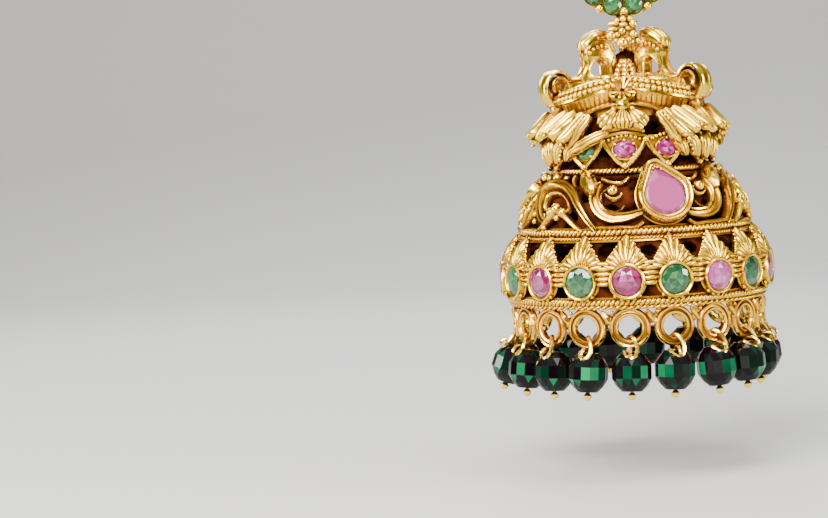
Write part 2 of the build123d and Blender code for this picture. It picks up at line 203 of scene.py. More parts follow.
@dataclass(frozen=True)
class Wall:
    """Outer face of a turned wall: the arc through three (radius, drop) points."""

    top: Pair
    middle: Pair
    foot: Pair

    @cached_property
    def table(self) -> Array:
        """Rows of drop, radius, and the outward and upward parts of the normal.

        Returns:
            Four rows of equal length.
        """
        (ax, ay), (bx, by), (cx, cy) = self.top, self.middle, self.foot
        d = 2 * (ax * (by - cy) + bx * (cy - ay) + cx * (ay - by))
        a2, b2, c2 = ax * ax + ay * ay, bx * bx + by * by, cx * cx + cy * cy
        ux = (a2 * (by - cy) + b2 * (cy - ay) + c2 * (ay - by)) / d
        uy = (a2 * (cx - bx) + b2 * (ax - cx) + c2 * (bx - ax)) / d
        size = math.hypot(ax - ux, ay - uy)
        drops = np.linspace(ay, cy, 60)
        radii = ux + np.sqrt(np.maximum(size**2 - (drops - uy) ** 2, 0))
        return np.stack([drops, radii, (radii - ux) / size, -(drops - uy) / size])

    def radius(self, drop: Numbers) -> Array:
        """Radius at a drop."""
        return np.interp(drop, self.table[0], self.table[1])

    def on(self, along: Numbers, drop: Numbers, lift: Numbers = 0.0) -> Array:
        """Point over the wall.

        Args:
            along: Distance round the wall from azimuth 0.
            drop: Height below the stud's lowest point.
            lift: Distance out of the wall.

        Returns:
            Points as rows of x, y, z.
        """
        drops, radii, out, up = self.table
        along, drop, lift = np.broadcast_arrays(*(np.asarray(v, float) for v in (along, drop, lift)))
        radius = np.interp(drop, drops, radii)
        out_by, up_by = lift * np.interp(drop, drops, out), lift * np.interp(drop, drops, up)
        return spot(np.degrees(along / radius), radius + out_by, drop - up_by)


# --- Mesh making ---


ROUND = oval(1, 1, 8)
HALF_ROUND = ((0.5, -0.5), (0.5, 0.2), (0.33, 0.75), (0, 1), (-0.33, 0.75), (-0.5, 0.2), (-0.5, -0.5))
HALF_GROOVE = ((0.5, -0.6), (0.5, 0.6), (0.4, 0.95), (0.26, 0.9), (0.12, 0.3))
GROOVED = (*HALF_GROOVE, *((-x, y) for x, y in HALF_GROOVE[::-1]))
ROLLED_LIP = ((0.6, -0.5), (0.5, 0.3), (0.42, 0.46), (0.15, 0.54), (-0.2, 0.5), (-0.5, 0.36), (-0.5, -0.5))
UP = np.array((0, 0, 1))


def unit(vectors: Array) -> Array:
    """Vectors brought to a length of one."""
    return vectors / np.maximum(np.linalg.norm(vectors, axis=-1, keepdims=True), 1e-12)


def along_path(path: Array, closed: bool = False) -> Array:
    """Direction of a path at each of its points."""
    return unit(np.roll(path, -1, 0) - np.roll(path, 1, 0) if closed else np.gradient(path, axis=0))


def quads(rows: int, columns: int, round_rows: bool = False, round_columns: bool = False) -> Array:
    """Faces of a grid of points.

    Args:
        rows: Points one way.
        columns: Points the other way.
        round_rows: Whether the last row joins the first.
        round_columns: Whether the last column joins the first.

    Returns:
        Four point numbers a row.
    """
    steps = (rows if round_rows else rows - 1, columns if round_columns else columns - 1)
    r, c = np.indices(steps)
    c2 = (c + 1) % columns
    near, far = r * columns, (r + 1) % rows * columns
    return np.stack([near + c, near + c2, far + c2, far + c], -1).reshape(-1, 4)


class Clay:
    """Gathers the solids of one piece before they become a mesh."""

    def __init__(self) -> None:
        """Starts with nothing."""
        self.points: list[Array] = []
        self.faces: list[list[int]] = []
        self.count = 0

    def put(self, points: Array, faces: Iterable[Sequence[int]], place: Matrix | None = None) -> None:
        """Adds points and the faces on them.

        Args:
            points: Rows of x, y, z.
            faces: Point numbers of each face.
            place: Frame that the points are given in.
        """
        points = np.asarray(points, float).reshape(-1, 3)
        if place is not None:
            turn = np.array(place)
            points = points @ turn[:3, :3].T + turn[:3, 3]
        self.points.append(points)
        self.faces.extend([[int(i) + self.count for i in f] for f in faces])
        self.count += len(points)

    def copy(self, other: "Clay", place: Matrix) -> None:
        """Adds another lump of clay in a frame."""
        self.put(np.concatenate(other.points), other.faces, place)

    def sweep(
        self,
        path: Array,
        normals: Sequence,
        section: Sequence[Pair],
        width: Numbers = 1.0,
        rise: Numbers = 1.0,
        closed: bool = False,
    ) -> None:
        """Draws a section along a path.

        Args:
            path: Points of the path.
            normals: Direction of the section's second coordinate at each of them.
            section: Closed outline, as rows of two coordinates.
            width: Scale of the first coordinate.
            rise: Scale of the second coordinate.
            closed: Whether the path comes back to its start.
        """
        path, section = np.asarray(path, float), np.asarray(section, float)
        n, k = len(path), len(section)
        tangent = along_path(path, closed)
        side = unit(np.cross(tangent, np.broadcast_to(normals, (n, 3))))
        up = np.cross(side, tangent)
        w = np.broadcast_to(width, n)[:, None, None] * section[None, :, 0:1]
        h = np.broadcast_to(rise, n)[:, None, None] * section[None, :, 1:2]
        points = path[:, None] + side[:, None] * w + up[:, None] * h
        faces = quads(n, k, closed, True).tolist()
        if not closed:
            faces += [list(range(k)), list(range((n - 1) * k, n * k))[::-1]]
        self.put(points, faces)

    def tube(self, path: Array, radius: Numbers, closed: bool = False, sides: int = 8) -> None:
        """Draws a round wire along a path, with rounded ends.

        Args:
            path: Points of the path.
            radius: Radius, the same all along or one for each point.
            closed: Whether the path comes back to its start.
            sides: Sides of the wire.
        """
        path = np.asarray(path, float)
        radii = np.broadcast_to(np.asarray(radius, float), len(path)).copy()
        if not closed:
            head, tail = unit(path[0] - path[1]), unit(path[-1] - path[-2])
            steps = np.array([0.95, 0.75, 0.4])
            sizes = np.array([0.2, 0.62, 0.9])
            before = path[0] + head * (radii[0] * steps)[:, None]
            after = path[-1] + tail * (radii[-1] * steps[::-1])[:, None]
            path = np.concatenate([before, path, after])
            radii = np.concatenate([radii[0] * sizes, radii, radii[-1] * sizes[::-1]])
        tangent = along_path(path, closed)
        normal = np.zeros_like(path)
        start = np.cross(tangent[0], (0.31, 0.77, 0.55))
        for i, along in enumerate(tangent):
            start = unit(start - along * np.dot(start, along))
            normal[i] = start
        self.sweep(path, normal, oval(1, 1, sides), radii, radii, closed)

    def ball(self, centre: Sequence[float], radius: float, rings: int = 6, sides: int = 10) -> None:
        """Adds a ball."""
        tilt = np.linspace(0, math.pi, rings + 1)
        self.lathe(np.column_stack([np.sin(tilt), np.cos(tilt)]) * radius, Matrix.Translation(centre), sides)

    def claws(self, place: Matrix, half: Pair, angles: Sequence[float], height: float, size: float) -> None:
        """Adds balls on an oval round a stone, from its halves and their angles in degrees."""
        for angle in map(math.radians, angles):
            self.ball(place @ Vector((half[0] * math.cos(angle), half[1] * math.sin(angle), height)), size)

    def wire_eye(self, eye: Triple) -> None:
        """Adds an upright ring of wire, from its radius, its wire's radius and its drop."""
        ring, wire, drop = eye
        self.tube([(0, y, z - STUD_R - drop) for y, z in oval(ring, ring)], wire, True, 10)

    def leaf(self, spine: Array, out: Array, half: Array, ribs: int, rise: float, swell: float = 0.3) -> None:
        """Adds a ribbed leaf.

        Args:
            spine: Points from its root to its tip.
            out: Direction that its face looks in, at each of them.
            half: Half its width at each of them.
            ribs: Ribs side by side.
            rise: Height of the ribs.
            swell: Height of its middle over its edges.
        """
        tangent = along_path(spine)
        side = unit(np.cross(tangent, out))
        up = np.cross(side, tangent)[:, None]
        across = np.linspace(-1, 1, 6 * ribs + 1)
        ridge = np.abs(np.sin((across + 1) * math.pi * ribs / 2)) ** 0.7
        height = swell * (1 - across**2) + np.outer(half / np.max(half), ridge) * rise
        front = spine[:, None] + side[:, None] * np.outer(half, across)[..., None] + up * height[..., None]
        self.slab(front, front - up * 0.35)

    def lathe(self, profile: Sequence, place: Matrix, sides: int = 32, ring: bool = False) -> None:
        """Turns rows of (radius, height) about a frame's Z. A ring's rows are a closed outline."""
        rows = [at_height(oval(radius, radius, sides), height) for radius, height in profile]
        self.put(np.concatenate(rows), quads(len(profile), sides, ring, True), place)

    def turn(self, profile: Sequence[Pair], sides: int, ring: bool = True) -> None:
        """Turns rows of (radius, drop) about the drop's axis."""
        self.lathe([(radius, -STUD_R - drop) for radius, drop in profile], Matrix.Identity(4), sides, ring)

    def collet(self, outline: Array, place: Matrix, wall: float, height: float) -> None:
        """Adds a stone's setting: a wall with a bright rolled lip.

        Args:
            outline: Middle line of the wall, closed.
            place: Frame with its Z out of the setting, level with the lip.
            wall: Thickness of the wall.
            height: Depth of the wall.
        """
        piece = Clay()
        piece.sweep(at_height(outline, -height / 2), UP, ROLLED_LIP, wall, height, True)
        self.copy(piece, place)

    def flat_wire(self, outline: Array, height: float, radius: float, place: Matrix) -> None:
        """Adds a closed wire.

        Args:
            outline: Flat outline that it follows.
            height: Height of the outline in the frame.
            radius: Radius of the wire.
            place: Frame of the outline.
        """
        wire = Clay()
        wire.tube(at_height(outline, height), radius, True)
        self.copy(wire, place)

    def brilliant(self, radius: float, rise: float, depth: float, place: Matrix, wide: float = 1.0) -> None:
        """Adds a round or oval cut stone with table, kites and girdle facets.

        Args:
            radius: Radius at the girdle.
            rise: Height of the table over the girdle.
            depth: Depth of the stone below the girdle.
            place: Frame of the girdle.
            wide: Stretch along X.
        """
        points = [[(0, 0, rise)]]
        rings = ((8, 0.56, 0, rise), (8, 0.82, 0.5, rise * 0.62), (16, 1, 0, 0), (16, 0.97, 0, -depth))
        for count, size, shift, height in rings:
            angle = (np.arange(count) + shift) * TURN / count
            ring = np.column_stack([radius * wide * size * np.cos(angle), radius * size * np.sin(angle)])
            points.append(at_height(ring, height))
        table, middle, girdle, foot = 1, 9, 17, 33
        faces: list[list[int]] = []
        for i in range(8):
            j = (i + 1) % 8
            low = girdle + 2 * i
            faces.append([0, table + i, table + j])
            faces.append([table + i, middle + i, table + j])
            faces.append([table + i, middle + (i - 1) % 8, low, middle + i])
            faces.append([middle + i, low, low + 1])
            faces.append([middle + i, low + 1, girdle + (2 * i + 2) % 16])
        faces += [[girdle + i, foot + i, foot + (i + 1) % 16, girdle + (i + 1) % 16] for i in range(16)]
        faces.append([foot + i for i in range(16)][::-1])
        self.put(np.concatenate(points), faces, place)

    def slab(self, front: Array, back: Array) -> None:
        """Closes two facing grids of points into one solid.

        Args:
            front: Grid of points of the outer face.
            back: Grid of points of the inner face, of the same size.
        """
        rows, columns = front.shape[:2]
        half = rows * columns
        grid = np.arange(half).reshape(rows, columns)
        edge = [*grid[0], *grid[1:, -1], *grid[-1, -2::-1], *grid[-2:0:-1, 0]]
        skirt = [[edge[i - 1], edge[i], edge[i] + half, edge[i - 1] + half] for i in range(len(edge))]
        sheet = quads(rows, columns)
        points = np.concatenate([front.reshape(-1, 3), back.reshape(-1, 3)])
        self.put(points, [*sheet[:, ::-1], *(sheet + half), *skirt])

    def pierced(self, wall: Wall, holes: Sequence[tuple], back: float, thickness: float) -> None:
        """Adds a thin turned wall with oval holes.

        Args:
            wall: Wall that it follows.
            holes: Rows of azimuth, drop, half width and half height.
            back: Distance of its outer face out of the wall.
            thickness: Its thickness.
        """
        drops, columns = np.arange(wall.top[1], wall.foot[1] + 0.01, PANE_TALL), PANES
        turns = np.arange(columns) * 360 / columns
        middle_d = (drops[:-1] + drops[1:]) / 2
        keep = np.ones((len(middle_d), columns), bool)
        radius = wall.radius(middle_d)[:, None]
        for azimuth, drop, wide, tall in holes:
            gap = (turns + 180 / columns - azimuth + 180) % 360 - 180
            keep &= (np.radians(gap) * radius / wide) ** 2 + ((middle_d[:, None] - drop) / tall) ** 2 > 1
        rows = len(drops)
        grids = []
        for lift in (back, back - thickness):
            flat = wall.on(0, drops[:, None], lift)
            grids.append(spot(turns, np.hypot(flat[..., 0], flat[..., 1]), -STUD_R - flat[..., 2]))
        half = rows * columns
        faces = []
        sheet = quads(rows, columns, False, True).reshape(rows - 1, columns, 4)
        neighbours = ((-1, 0, 1, 0), (1, 0, 3, 2), (0, -1, 0, 3), (0, 1, 2, 1))
        for r, c in zip(*np.nonzero(keep)):
            corners = sheet[r, c]
            faces += [corners, corners[::-1] + half]
            for down, right, a, b in neighbours:
                beside = (r + down, (c + right) % columns)
                if beside[0] in (-1, rows - 1) or not keep[beside]:
                    faces.append([corners[a], corners[b], corners[b] + half, corners[a] + half])
        self.put(np.concatenate([g.reshape(-1, 3) for g in grids]), faces)

    def mesh(self, name: str, crease: float = 38.0) -> bpy.types.Mesh:
        """Makes the mesh, in metres.

        Args:
            name: Name of the mesh.
            crease: Angle in degrees from which an edge is sharp.

        Returns:
            A closed mesh with its faces turned outwards.
        """
        mesh = bpy.data.meshes.new(name)
        mesh.from_pydata((np.concatenate(self.points) * MM).tolist(), [], self.faces)
        bm = bmesh.new()
        bm.from_mesh(mesh)
        bmesh.ops.remove_doubles(bm, verts=bm.verts, dist=MERGE)
        bmesh.ops.dissolve_degenerate(bm, edges=bm.edges, dist=MERGE)
        bmesh.ops.recalc_face_normals(bm, faces=bm.faces)
        bm.to_mesh(mesh)
        bm.free()
        mesh.polygons.foreach_set("use_smooth", [True] * len(mesh.polygons))
        mesh.set_sharp_from_angle(angle=math.radians(crease))
        return mesh


def brilliants(cuts: Iterable[tuple]) -> Clay:
    """Several cut stones.

    Args:
        cuts: What Clay.brilliant takes, for each of them.

    Returns:
        The clay.
    """
    clay = Clay()
    for stone in cuts:
        clay.brilliant(*stone)
    return clay


def cut_plate(outline: Array, holes: Sequence, thickness: float, rounding: float) -> tuple[Array, list]:
    """Flat plate with rounded edges.

    Args:
        outline: Outer edge.
        holes: Edges of the openings.
        thickness: Thickness, half on each side of the outline's plane.
        rounding: Radius of the edges.

    Returns:
        Points and faces.
    """
    curve = bpy.data.curves.new("plate", "CURVE")
    curve.dimensions = "2D"
    curve.fill_mode = "BOTH"
    curve.extrude = thickness / 2 - rounding
    curve.bevel_depth = rounding
    curve.bevel_resolution = 1
    curve.offset = -rounding
    for loop in (outline, *holes):
        spline = curve.splines.new("POLY")
        spline.points.add(len(loop) - 1)
        spline.points.foreach_set("co", [c for x, y in loop for c in (x, y, 0.0, 1.0)])
        spline.use_cyclic_u = True
    obj = bpy.data.objects.new("plate", curve)
    mesh = bpy.data.meshes.new_from_object(obj)
    points = np.array([v.co for v in mesh.vertices])
    faces = [list(p.vertices) for p in mesh.polygons]
    bpy.data.objects.remove(obj)
    bpy.data.curves.remove(curve)
    bpy.data.meshes.remove(mesh)
    return points, faces


# --- Nodes ---


class Wire:
    """One output socket, whose arithmetic adds Math nodes."""

    def __init__(self, bench: "Bench", socket: bpy.types.NodeSocket) -> None:
        """Wraps a socket of a bench's tree."""
        self.bench = bench
        self.socket = socket

    def _maths(self, operation: str, first: object, second: object = 0.0) -> "Wire":
        """Result of one Math node."""
        return self.bench.first("ShaderNodeMath", {0: first, 1: second}, operation=operation)

    def __add__(self, other: object) -> "Wire":
        """Sum."""
        return self._maths("ADD", self, other)

    __radd__ = __add__

    def __mul__(self, other: object) -> "Wire":
        """Product."""
        return self._maths("MULTIPLY", self, other)

    __rmul__ = __mul__

    def __sub__(self, other: object) -> "Wire":
        """Difference."""
        return self._maths("SUBTRACT", self, other)

    def __rsub__(self, other: object) -> "Wire":
        """Difference from a number."""
        return self._maths("SUBTRACT", other, self)

    def __truediv__(self, other: object) -> "Wire":
        """Quotient."""
        return self._maths("DIVIDE", self, other)

    def sin(self) -> "Wire":
        """Sine."""
        return self._maths("SINE", self)

    def cos(self) -> "Wire":
        """Cosine."""
        return self._maths("COSINE", self)


class Bench:
    """Adds nodes to a tree."""

    def __init__(self, tree: bpy.types.NodeTree) -> None:
        """Takes the tree to work on."""
        self.tree = tree

    def fill(self, node: bpy.types.Node, feeds: dict) -> None:
        """Feeds a node's inputs.

        Args:
            node: The node.
            feeds: Wires or values of the inputs, by name or number.
        """
        for key, value in feeds.items():
            if isinstance(value, Wire):
                self.tree.links.new(value.socket, node.inputs[key])
            else:
                node.inputs[key].default_value = value

    def make(self, kind: str, feeds: dict | None = None, **settings: object) -> list[Wire]:
        """Adds one node.

        Args:
            kind: Node type.
            feeds: Wires or values of the input sockets, by name or number.
            settings: Properties, set before the sockets. "stops" holds the colours of a ramp.

        Returns:
            The node's outputs.
        """
        node = self.tree.nodes.new(kind)
        for key, value in settings.items():
            if key == "stops":
                ramp = node.color_ramp.elements
                while len(ramp) < len(value):
                    ramp.new(0.5)
                for element, (position, colour) in zip(ramp, value):
                    element.position = position
                    element.color = (*colour, 1.0)
            else:
                setattr(node, key, value)
        self.fill(node, feeds or {})
        return [Wire(self, socket) for socket in node.outputs]

    def first(self, kind: str, feeds: dict | None = None, **settings: object) -> Wire:
        """Adds one node and gives its first output."""
        return self.make(kind, feeds, **settings)[0]

    def named(self, kind: str, output: str, feeds: dict | None = None, **settings: object) -> Wire:
        """Adds one node and gives one of its outputs by name."""
        return next(w for w in self.make(kind, feeds, **settings) if w.socket.name == output)

    def share(self, value: Wire, low: float, high: float, most: float = 1.0) -> Wire:
        """Brings a value from a range to the range from 0 to the most, and holds it there."""
        feeds = {"Value": value, "From Min": low, "From Max": high, "To Min": 0.0, "To Max": most}
        return self.named("ShaderNodeMapRange", "Result", feeds, clamp=True)

    def ramp(self, level: Wire, stops: Sequence[tuple[float, Triple]]) -> Wire:
        """Colour at a level, between the stops."""
        return self.first("ShaderNodeValToRGB", {0: level}, stops=stops)

    def mix(self, factor: Wire, low: Wire | Triple, high: Wire | Triple) -> Wire:
        """Blend of two colours."""
        low, high = (colour if isinstance(colour, Wire) else (*colour, 1) for colour in (low, high))
        return self.make("ShaderNodeMix", {0: factor, 6: low, 7: high}, data_type="RGBA")[2]


# --- Finishes ---


class Paint(Bench):
    """Bench of a new material, with its Principled shader and its Object coordinates."""

    def __init__(self, name: str) -> None:
        """Starts the material.

        Args:
            name: Name of the material.
        """
        self.material = bpy.data.materials.new(name)
        self.material.use_nodes = True
        super().__init__(self.material.node_tree)
        self.shader = next(n for n in self.tree.nodes if n.type == "BSDF_PRINCIPLED")
        self.here = self.named("ShaderNodeTexCoord", "Object")

    def noise(self, scale: float, detail: float = 2.0) -> Wire:
        """Soft noise from 0 to 1."""
        return self.first("ShaderNodeTexNoise", {"Vector": self.here, "Scale": scale, "Detail": detail})

    def finished(self, feeds: dict) -> bpy.types.Material:
        """The material, once the shader's inputs are fed."""
        self.fill(self.shader, feeds)
        return self.material


@dataclass(frozen=True)
class GoldFinish:
    """Polished plated gold, with painted brown shade in its crevices."""

    crease: ClassVar[float] = 38.0
    name: str
    bright: Triple = (1.0, 0.69, 0.03)
    warm: Triple = (0.66, 0.335, 0.006)
    # Colour of the most occluded places: painted shade.
    crevice_shade: Triple = (0.11, 0.032, 0.004)
    # Pink mixed in clouds, most where occlusion is deep: a painted pink reflection.
    pink_reflection: Triple = (0.72, 0.24, 0.05)
    reach: float = 1.2
    polish: float = 0.13
    dull: float = 0.4
    grain: float = 2600.0
    pink_reflection_share: float = 0.04

    @cached_property
    def material(self) -> bpy.types.Material:
        """The material: colour and roughness follow ambient occlusion, which paints brown shade into crevices
        and between parts.

        Returns:
            The material.
        """
        paint = Paint(self.name)
        # Ambient occlusion blends the colour down to the darkest stop in crevices: painted shade.
        depth = paint.named("ShaderNodeAmbientOcclusion", "AO", {"Distance": self.reach * MM}, samples=6)
        open_share = paint.share(depth, 0.42, 0.98)
        cloud = paint.noise(420.0)
        fine = paint.noise(self.grain)
        stops = [(0, self.crevice_shade), (0.55, self.warm), (1, self.bright)]
        body = paint.ramp(open_share * 0.9 + cloud * 0.14, stops)
        # Painted pink reflection, in clouds and strongest in occluded places.
        pink_reflection_mask = paint.share(cloud, 0.5, 0.7, self.pink_reflection_share)
        bump = paint.first("ShaderNodeBump", {"Strength": 0.35, "Distance": 0.03 * MM, "Height": fine})
        return paint.finished(
            {
                "Metallic": 1.0,
                "Base Color": paint.mix(pink_reflection_mask * (1.25 - open_share), body, self.pink_reflection),
                "Roughness": self.polish + (1 - open_share) * (self.dull - self.polish) + fine * 0.1,
                "Normal": bump,
            }
        )


@dataclass(frozen=True)
class GlassFinish:
    """Cut stone or glass, whose facets get painted glints: each its own lightness."""

    crease: ClassVar[float] = 3.0
    name: str
    dark: Triple
    middle: Triple
    light: Triple
    roughness: float = 0.08
    coat: float = 0.25
    cloudiness: float = 0.18
    shine: float = 0.5

    @cached_property
    def material(self) -> bpy.types.Material:
        """The material: each facet has its own painted lightness, standing for the light it throws back, with
        soft clouds inside.

        Returns:
            The material.
        """
        paint = Paint(self.name)
        tone = paint.named("ShaderNodeAttribute", "Fac", attribute_name="tone")
        cloud = paint.noise(700.0, 3.0)
        level = tone + (cloud - 0.5) * (2 * self.cloudiness)
        return paint.finished(
            {
                "Base Color": paint.ramp(level, [(0.05, self.dark), (0.5, self.middle), (0.95, self.light)]),
                "Roughness": self.roughness + cloud * 0.06,
                "Coat Weight": self.coat,
                "Coat Roughness": 0.04,
                "IOR": 1.6,
                "Specular IOR Level": self.shine,
            }
        )


@dataclass(frozen=True)
class PlainFinish:
    """Matt surface: the studio floor, and the dark sheets inside the openwork that are painted shade."""

    crease: ClassVar[float] = 38.0
    name: str
    colour: Triple
    roughness: float = 0.9
    shade: float = 0.97
    grain: float = 12.0
    contrast: float = 1.0

    @cached_property
    def material(self) -> bpy.types.Material:
        """The material, with clouds of a darker shade.

        Returns:
            The material.
        """
        paint = Paint(self.name)
        share = (paint.noise(self.grain) - 0.5) * self.contrast + 0.5
        darker = tuple(self.shade * c for c in self.colour)
        colour = paint.mix(share, self.colour, darker)
        return paint.finished({"Base Color": colour, "Roughness": self.roughness, "Specular IOR Level": 0.0})


Finish = GoldFinish | GlassFinish | PlainFinish

GOLD = GoldFinish("polished_gold")
PALE_GOLD = GoldFinish("pale_gold_wire", bright=(1.0, 0.76, 0.12), warm=(0.8, 0.46, 0.04), pink_reflection_share=0.03)
# Darker copy of the gold, whose painted crevice shade reaches further.
DEEP_GOLD = GoldFinish("darker_gold", (0.88, 0.5, 0.015), (0.46, 0.18, 0.006), reach=1.6, pink_reflection_share=0.06)
# Copper-tinted gold with more painted pink reflection.
COPPER_GOLD = GoldFinish("copper_gold", bright=(1.0, 0.62, 0.04), warm=(0.68, 0.29, 0.02), pink_reflection_share=0.15)
# Near-black sheet with darker clouds: painted shade inside the openwork; where a real backing wall stands,
# its darkness is painted shade too.
SHADE_LINING = PlainFinish("painted_shade_lining", (0.06, 0.013, 0.004), shade=0.03, grain=480.0, contrast=4.5)
GREEN = GlassFinish("green_stone", (0.002, 0.027, 0.009), (0.011, 0.08, 0.022), (0.08, 0.2, 0.065))
RUBY = GlassFinish("ruby_stone", (0.08, 0.001, 0.018), (0.18, 0.004, 0.065), (0.37, 0.1, 0.29))
ROSE = GlassFinish("rose_stone", (0.19, 0.01, 0.09), (0.32, 0.05, 0.19), (0.44, 0.14, 0.29))
PEAR = GlassFinish(
    "pear_stone",
    (0.13, 0.001, 0.05),
    (0.25, 0.026, 0.112),
    (0.28, 0.04, 0.15),
    roughness=0.3,
    coat=0.1,
    cloudiness=0.05,
)
BEAD = GlassFinish(
    "bead_glass",
    (0.003, 0.0006, 0.002),
    (0.0006, 0.013, 0.006),
    (0.007, 0.17, 0.06),
    roughness=0.03,
    coat=0.04,
    cloudiness=0.08,
    shine=0.1,
)


# --- Geometry Nodes ---


class Socket(Enum):
    """Kinds of input that a tree takes."""

    COUNT = "NodeSocketInt"
    SIZE = "NodeSocketFloat"
    PIECE = "NodeSocketObject"
    FINISH = "NodeSocketMaterial"


def stand(name: str, data: bpy.types.ID) -> bpy.types.Object:
    """New object in the scene.

    Args:
        name: Its name.
        data: Its mesh, lamp or camera.

    Returns:
        The object.
    """
    made = bpy.data.objects.new(name, data)
    bpy.context.scene.collection.objects.link(made)
    return made


class Recipe:
    """One Geometry Nodes tree with named inputs."""

    def __init__(self, name: str, inputs: dict[str, Socket]) -> None:
        """Starts a tree.

        Args:
            name: Name of the tree.
            inputs: Kind of each named input, besides the finish.
        """
        self.tree = bpy.data.node_groups.new(name, "GeometryNodeTree")
        face = self.tree.interface
        for way in ("INPUT", "OUTPUT"):
            face.new_socket(name="Geometry", in_out=way, socket_type="NodeSocketGeometry")
        self.keys = {
            key: face.new_socket(name=key, in_out="INPUT", socket_type=kind.value).identifier
            for key, kind in {**inputs, "Finish": Socket.FINISH}.items()
        }
        self.bench = Bench(self.tree)
        self.given = {w.socket.name: w for w in self.bench.make("NodeGroupInput")}

    def close(self, geometry: Wire, flat: bool = False) -> None:
        """Ends the tree in real geometry with its finish.

        Args:
            geometry: What the tree has made.
            flat: Whether its faces keep the shading that they have.
        """
        real = self.bench.first("GeometryNodeRealizeInstances", {"Geometry": geometry})
        if not flat:
            real = self.bench.first("GeometryNodeSetShadeSmooth", {"Geometry": real})
        feeds = {"Geometry": real, "Material": self.given["Finish"]}
        self.bench.make("NodeGroupOutput", {0: self.bench.first("GeometryNodeSetMaterial", feeds)})

    def run(self, mesh: bpy.types.Mesh, name: str, values: dict[str, object]) -> bpy.types.Object:
        """Runs the tree on a mesh.

        Args:
            mesh: What goes into the tree.
            name: Name of the new piece.
            values: Values of the named inputs.

        Returns:
            A plain mesh object.
        """
        carrier = stand(name + "_carrier", mesh)
        modifier = carrier.modifiers.new("recipe", "NODES")
        modifier.node_group = self.tree
        for key, value in values.items():
            modifier[self.keys[key]] = value
        bpy.context.view_layer.update()
        made = bpy.data.meshes.new_from_object(carrier.evaluated_get(bpy.context.evaluated_depsgraph_get()))
        made.name = name
        carrier.modifiers.clear()
        bpy.data.objects.remove(carrier)
        return stand(name, made)


def rope_recipe() -> Recipe:
    """Tree of a closed rope of twisted strands.

    Returns:
        The recipe, with the ring's size, the rope's size, its strands and their turns as inputs.
    """
    sizes = ("Ring Radius", "Twist Radius", "Strand Radius", "Height")
    counts = ("Turns", "Strands", "Samples")
    recipe = Recipe("twisted_rope", dict.fromkeys(sizes, Socket.SIZE) | dict.fromkeys(counts, Socket.COUNT))
    bench, given = recipe.bench, recipe.given
    ring = bench.first("GeometryNodeCurvePrimitiveCircle", {"Resolution": given["Samples"], "Radius": 1.0})
    feeds = {0: ring, "Amount": given["Strands"]}
    strands = bench.make("GeometryNodeDuplicateElements", feeds, domain="SPLINE")
    around = bench.named("GeometryNodeSplineParameter", "Factor") * TURN
    twist = around * given["Turns"] + strands[1] * TURN / given["Strands"]
    reach = given["Ring Radius"] + twist.cos() * given["Twist Radius"]
    height = given["Height"] + twist.sin() * given["Twist Radius"]
    place = bench.first("ShaderNodeCombineXYZ", {0: reach * around.cos(), 1: reach * around.sin(), 2: height})
    laid = bench.first("GeometryNodeSetPosition", {"Geometry": strands[0], "Position": place})
    feeds = {"Resolution": 6, "Radius": given["Strand Radius"]}
    wire = bench.first("GeometryNodeCurvePrimitiveCircle", feeds)
    recipe.close(bench.first("GeometryNodeCurveToMesh", {"Curve": laid, "Profile Curve": wire}))
    return recipe


def ring_recipe() -> Recipe:
    """Tree that repeats a unit round the drop's axis.

    Returns:
        The recipe, with the count and the first unit's turn as inputs.
    """
    recipe = Recipe("round_the_drop", {"Count": Socket.COUNT, "First Turn": Socket.SIZE})
    bench, given = recipe.bench, recipe.given
    points = bench.first("GeometryNodePoints", {"Count": given["Count"]})
    turn = given["First Turn"] + bench.first("GeometryNodeInputIndex") * TURN / given["Count"]
    angles = bench.first("ShaderNodeCombineXYZ", {2: turn})
    rotation = bench.first("FunctionNodeEulerToRotation", {0: angles})
    feeds = {"Points": points, "Instance": given["Geometry"], "Rotation": rotation}
    recipe.close(bench.first("GeometryNodeInstanceOnPoints", feeds), flat=True)
    return recipe


def granule_recipe() -> Recipe:
    """Tree that sets balls along the edges of a mesh.

    Returns:
        The recipe, with the spacing, the ball's radius and its spread as inputs.
    """
    sizes = dict.fromkeys(("Spacing", "Granule Radius", "Spread"), Socket.SIZE)
    recipe = Recipe("granule_rows", sizes | {"Seed": Socket.COUNT})
    bench, given = recipe.bench, recipe.given
    lines = bench.first("GeometryNodeMeshToCurve", {0: given["Geometry"]})
    feeds = {"Curve": lines, "Length": given["Spacing"]}
    spaced = bench.first("GeometryNodeResampleCurve", feeds, mode="LENGTH")
    ball = {"Segments": 10, "Rings": 6, "Radius": given["Granule Radius"]}
    grain = bench.first("GeometryNodeMeshUVSphere", ball)
    limits = {2: 1 - given["Spread"], 3: 1 + given["Spread"], "Seed": given["Seed"]}
    size = bench.make("FunctionNodeRandomValue", limits, data_type="FLOAT")[1]
    feeds = {"Points": spaced, "Instance": grain, "Scale": size}
    recipe.close(bench.first("GeometryNodeInstanceOnPoints", feeds))
    return recipe


def hanging_recipe() -> Recipe:
    """Tree that hangs a unit on each point of a mesh, turned by the point's "lean" angles.

    Returns:
        The recipe, with the unit as an input.
    """
    recipe = Recipe("hung_on_points", {"Unit": Socket.PIECE})
    bench, given = recipe.bench, recipe.given
    kind = "GeometryNodeInputNamedAttribute"
    lean = bench.named(kind, "Attribute", {"Name": "lean"}, data_type="FLOAT_VECTOR")
    rotation = bench.first("FunctionNodeEulerToRotation", {0: lean})
    thing = bench.named("GeometryNodeObjectInfo", "Geometry", {"Object": given["Unit"], "As Instance": True})
    points = bench.first("GeometryNodeMeshToPoints", {"Mesh": given["Geometry"], "Radius": 0.1 * MM})
    feeds = {"Points": points, "Instance": thing, "Rotation": rotation}
    recipe.close(bench.first("GeometryNodeInstanceOnPoints", feeds), flat=True)
    return recipe


# --- Workshop ---


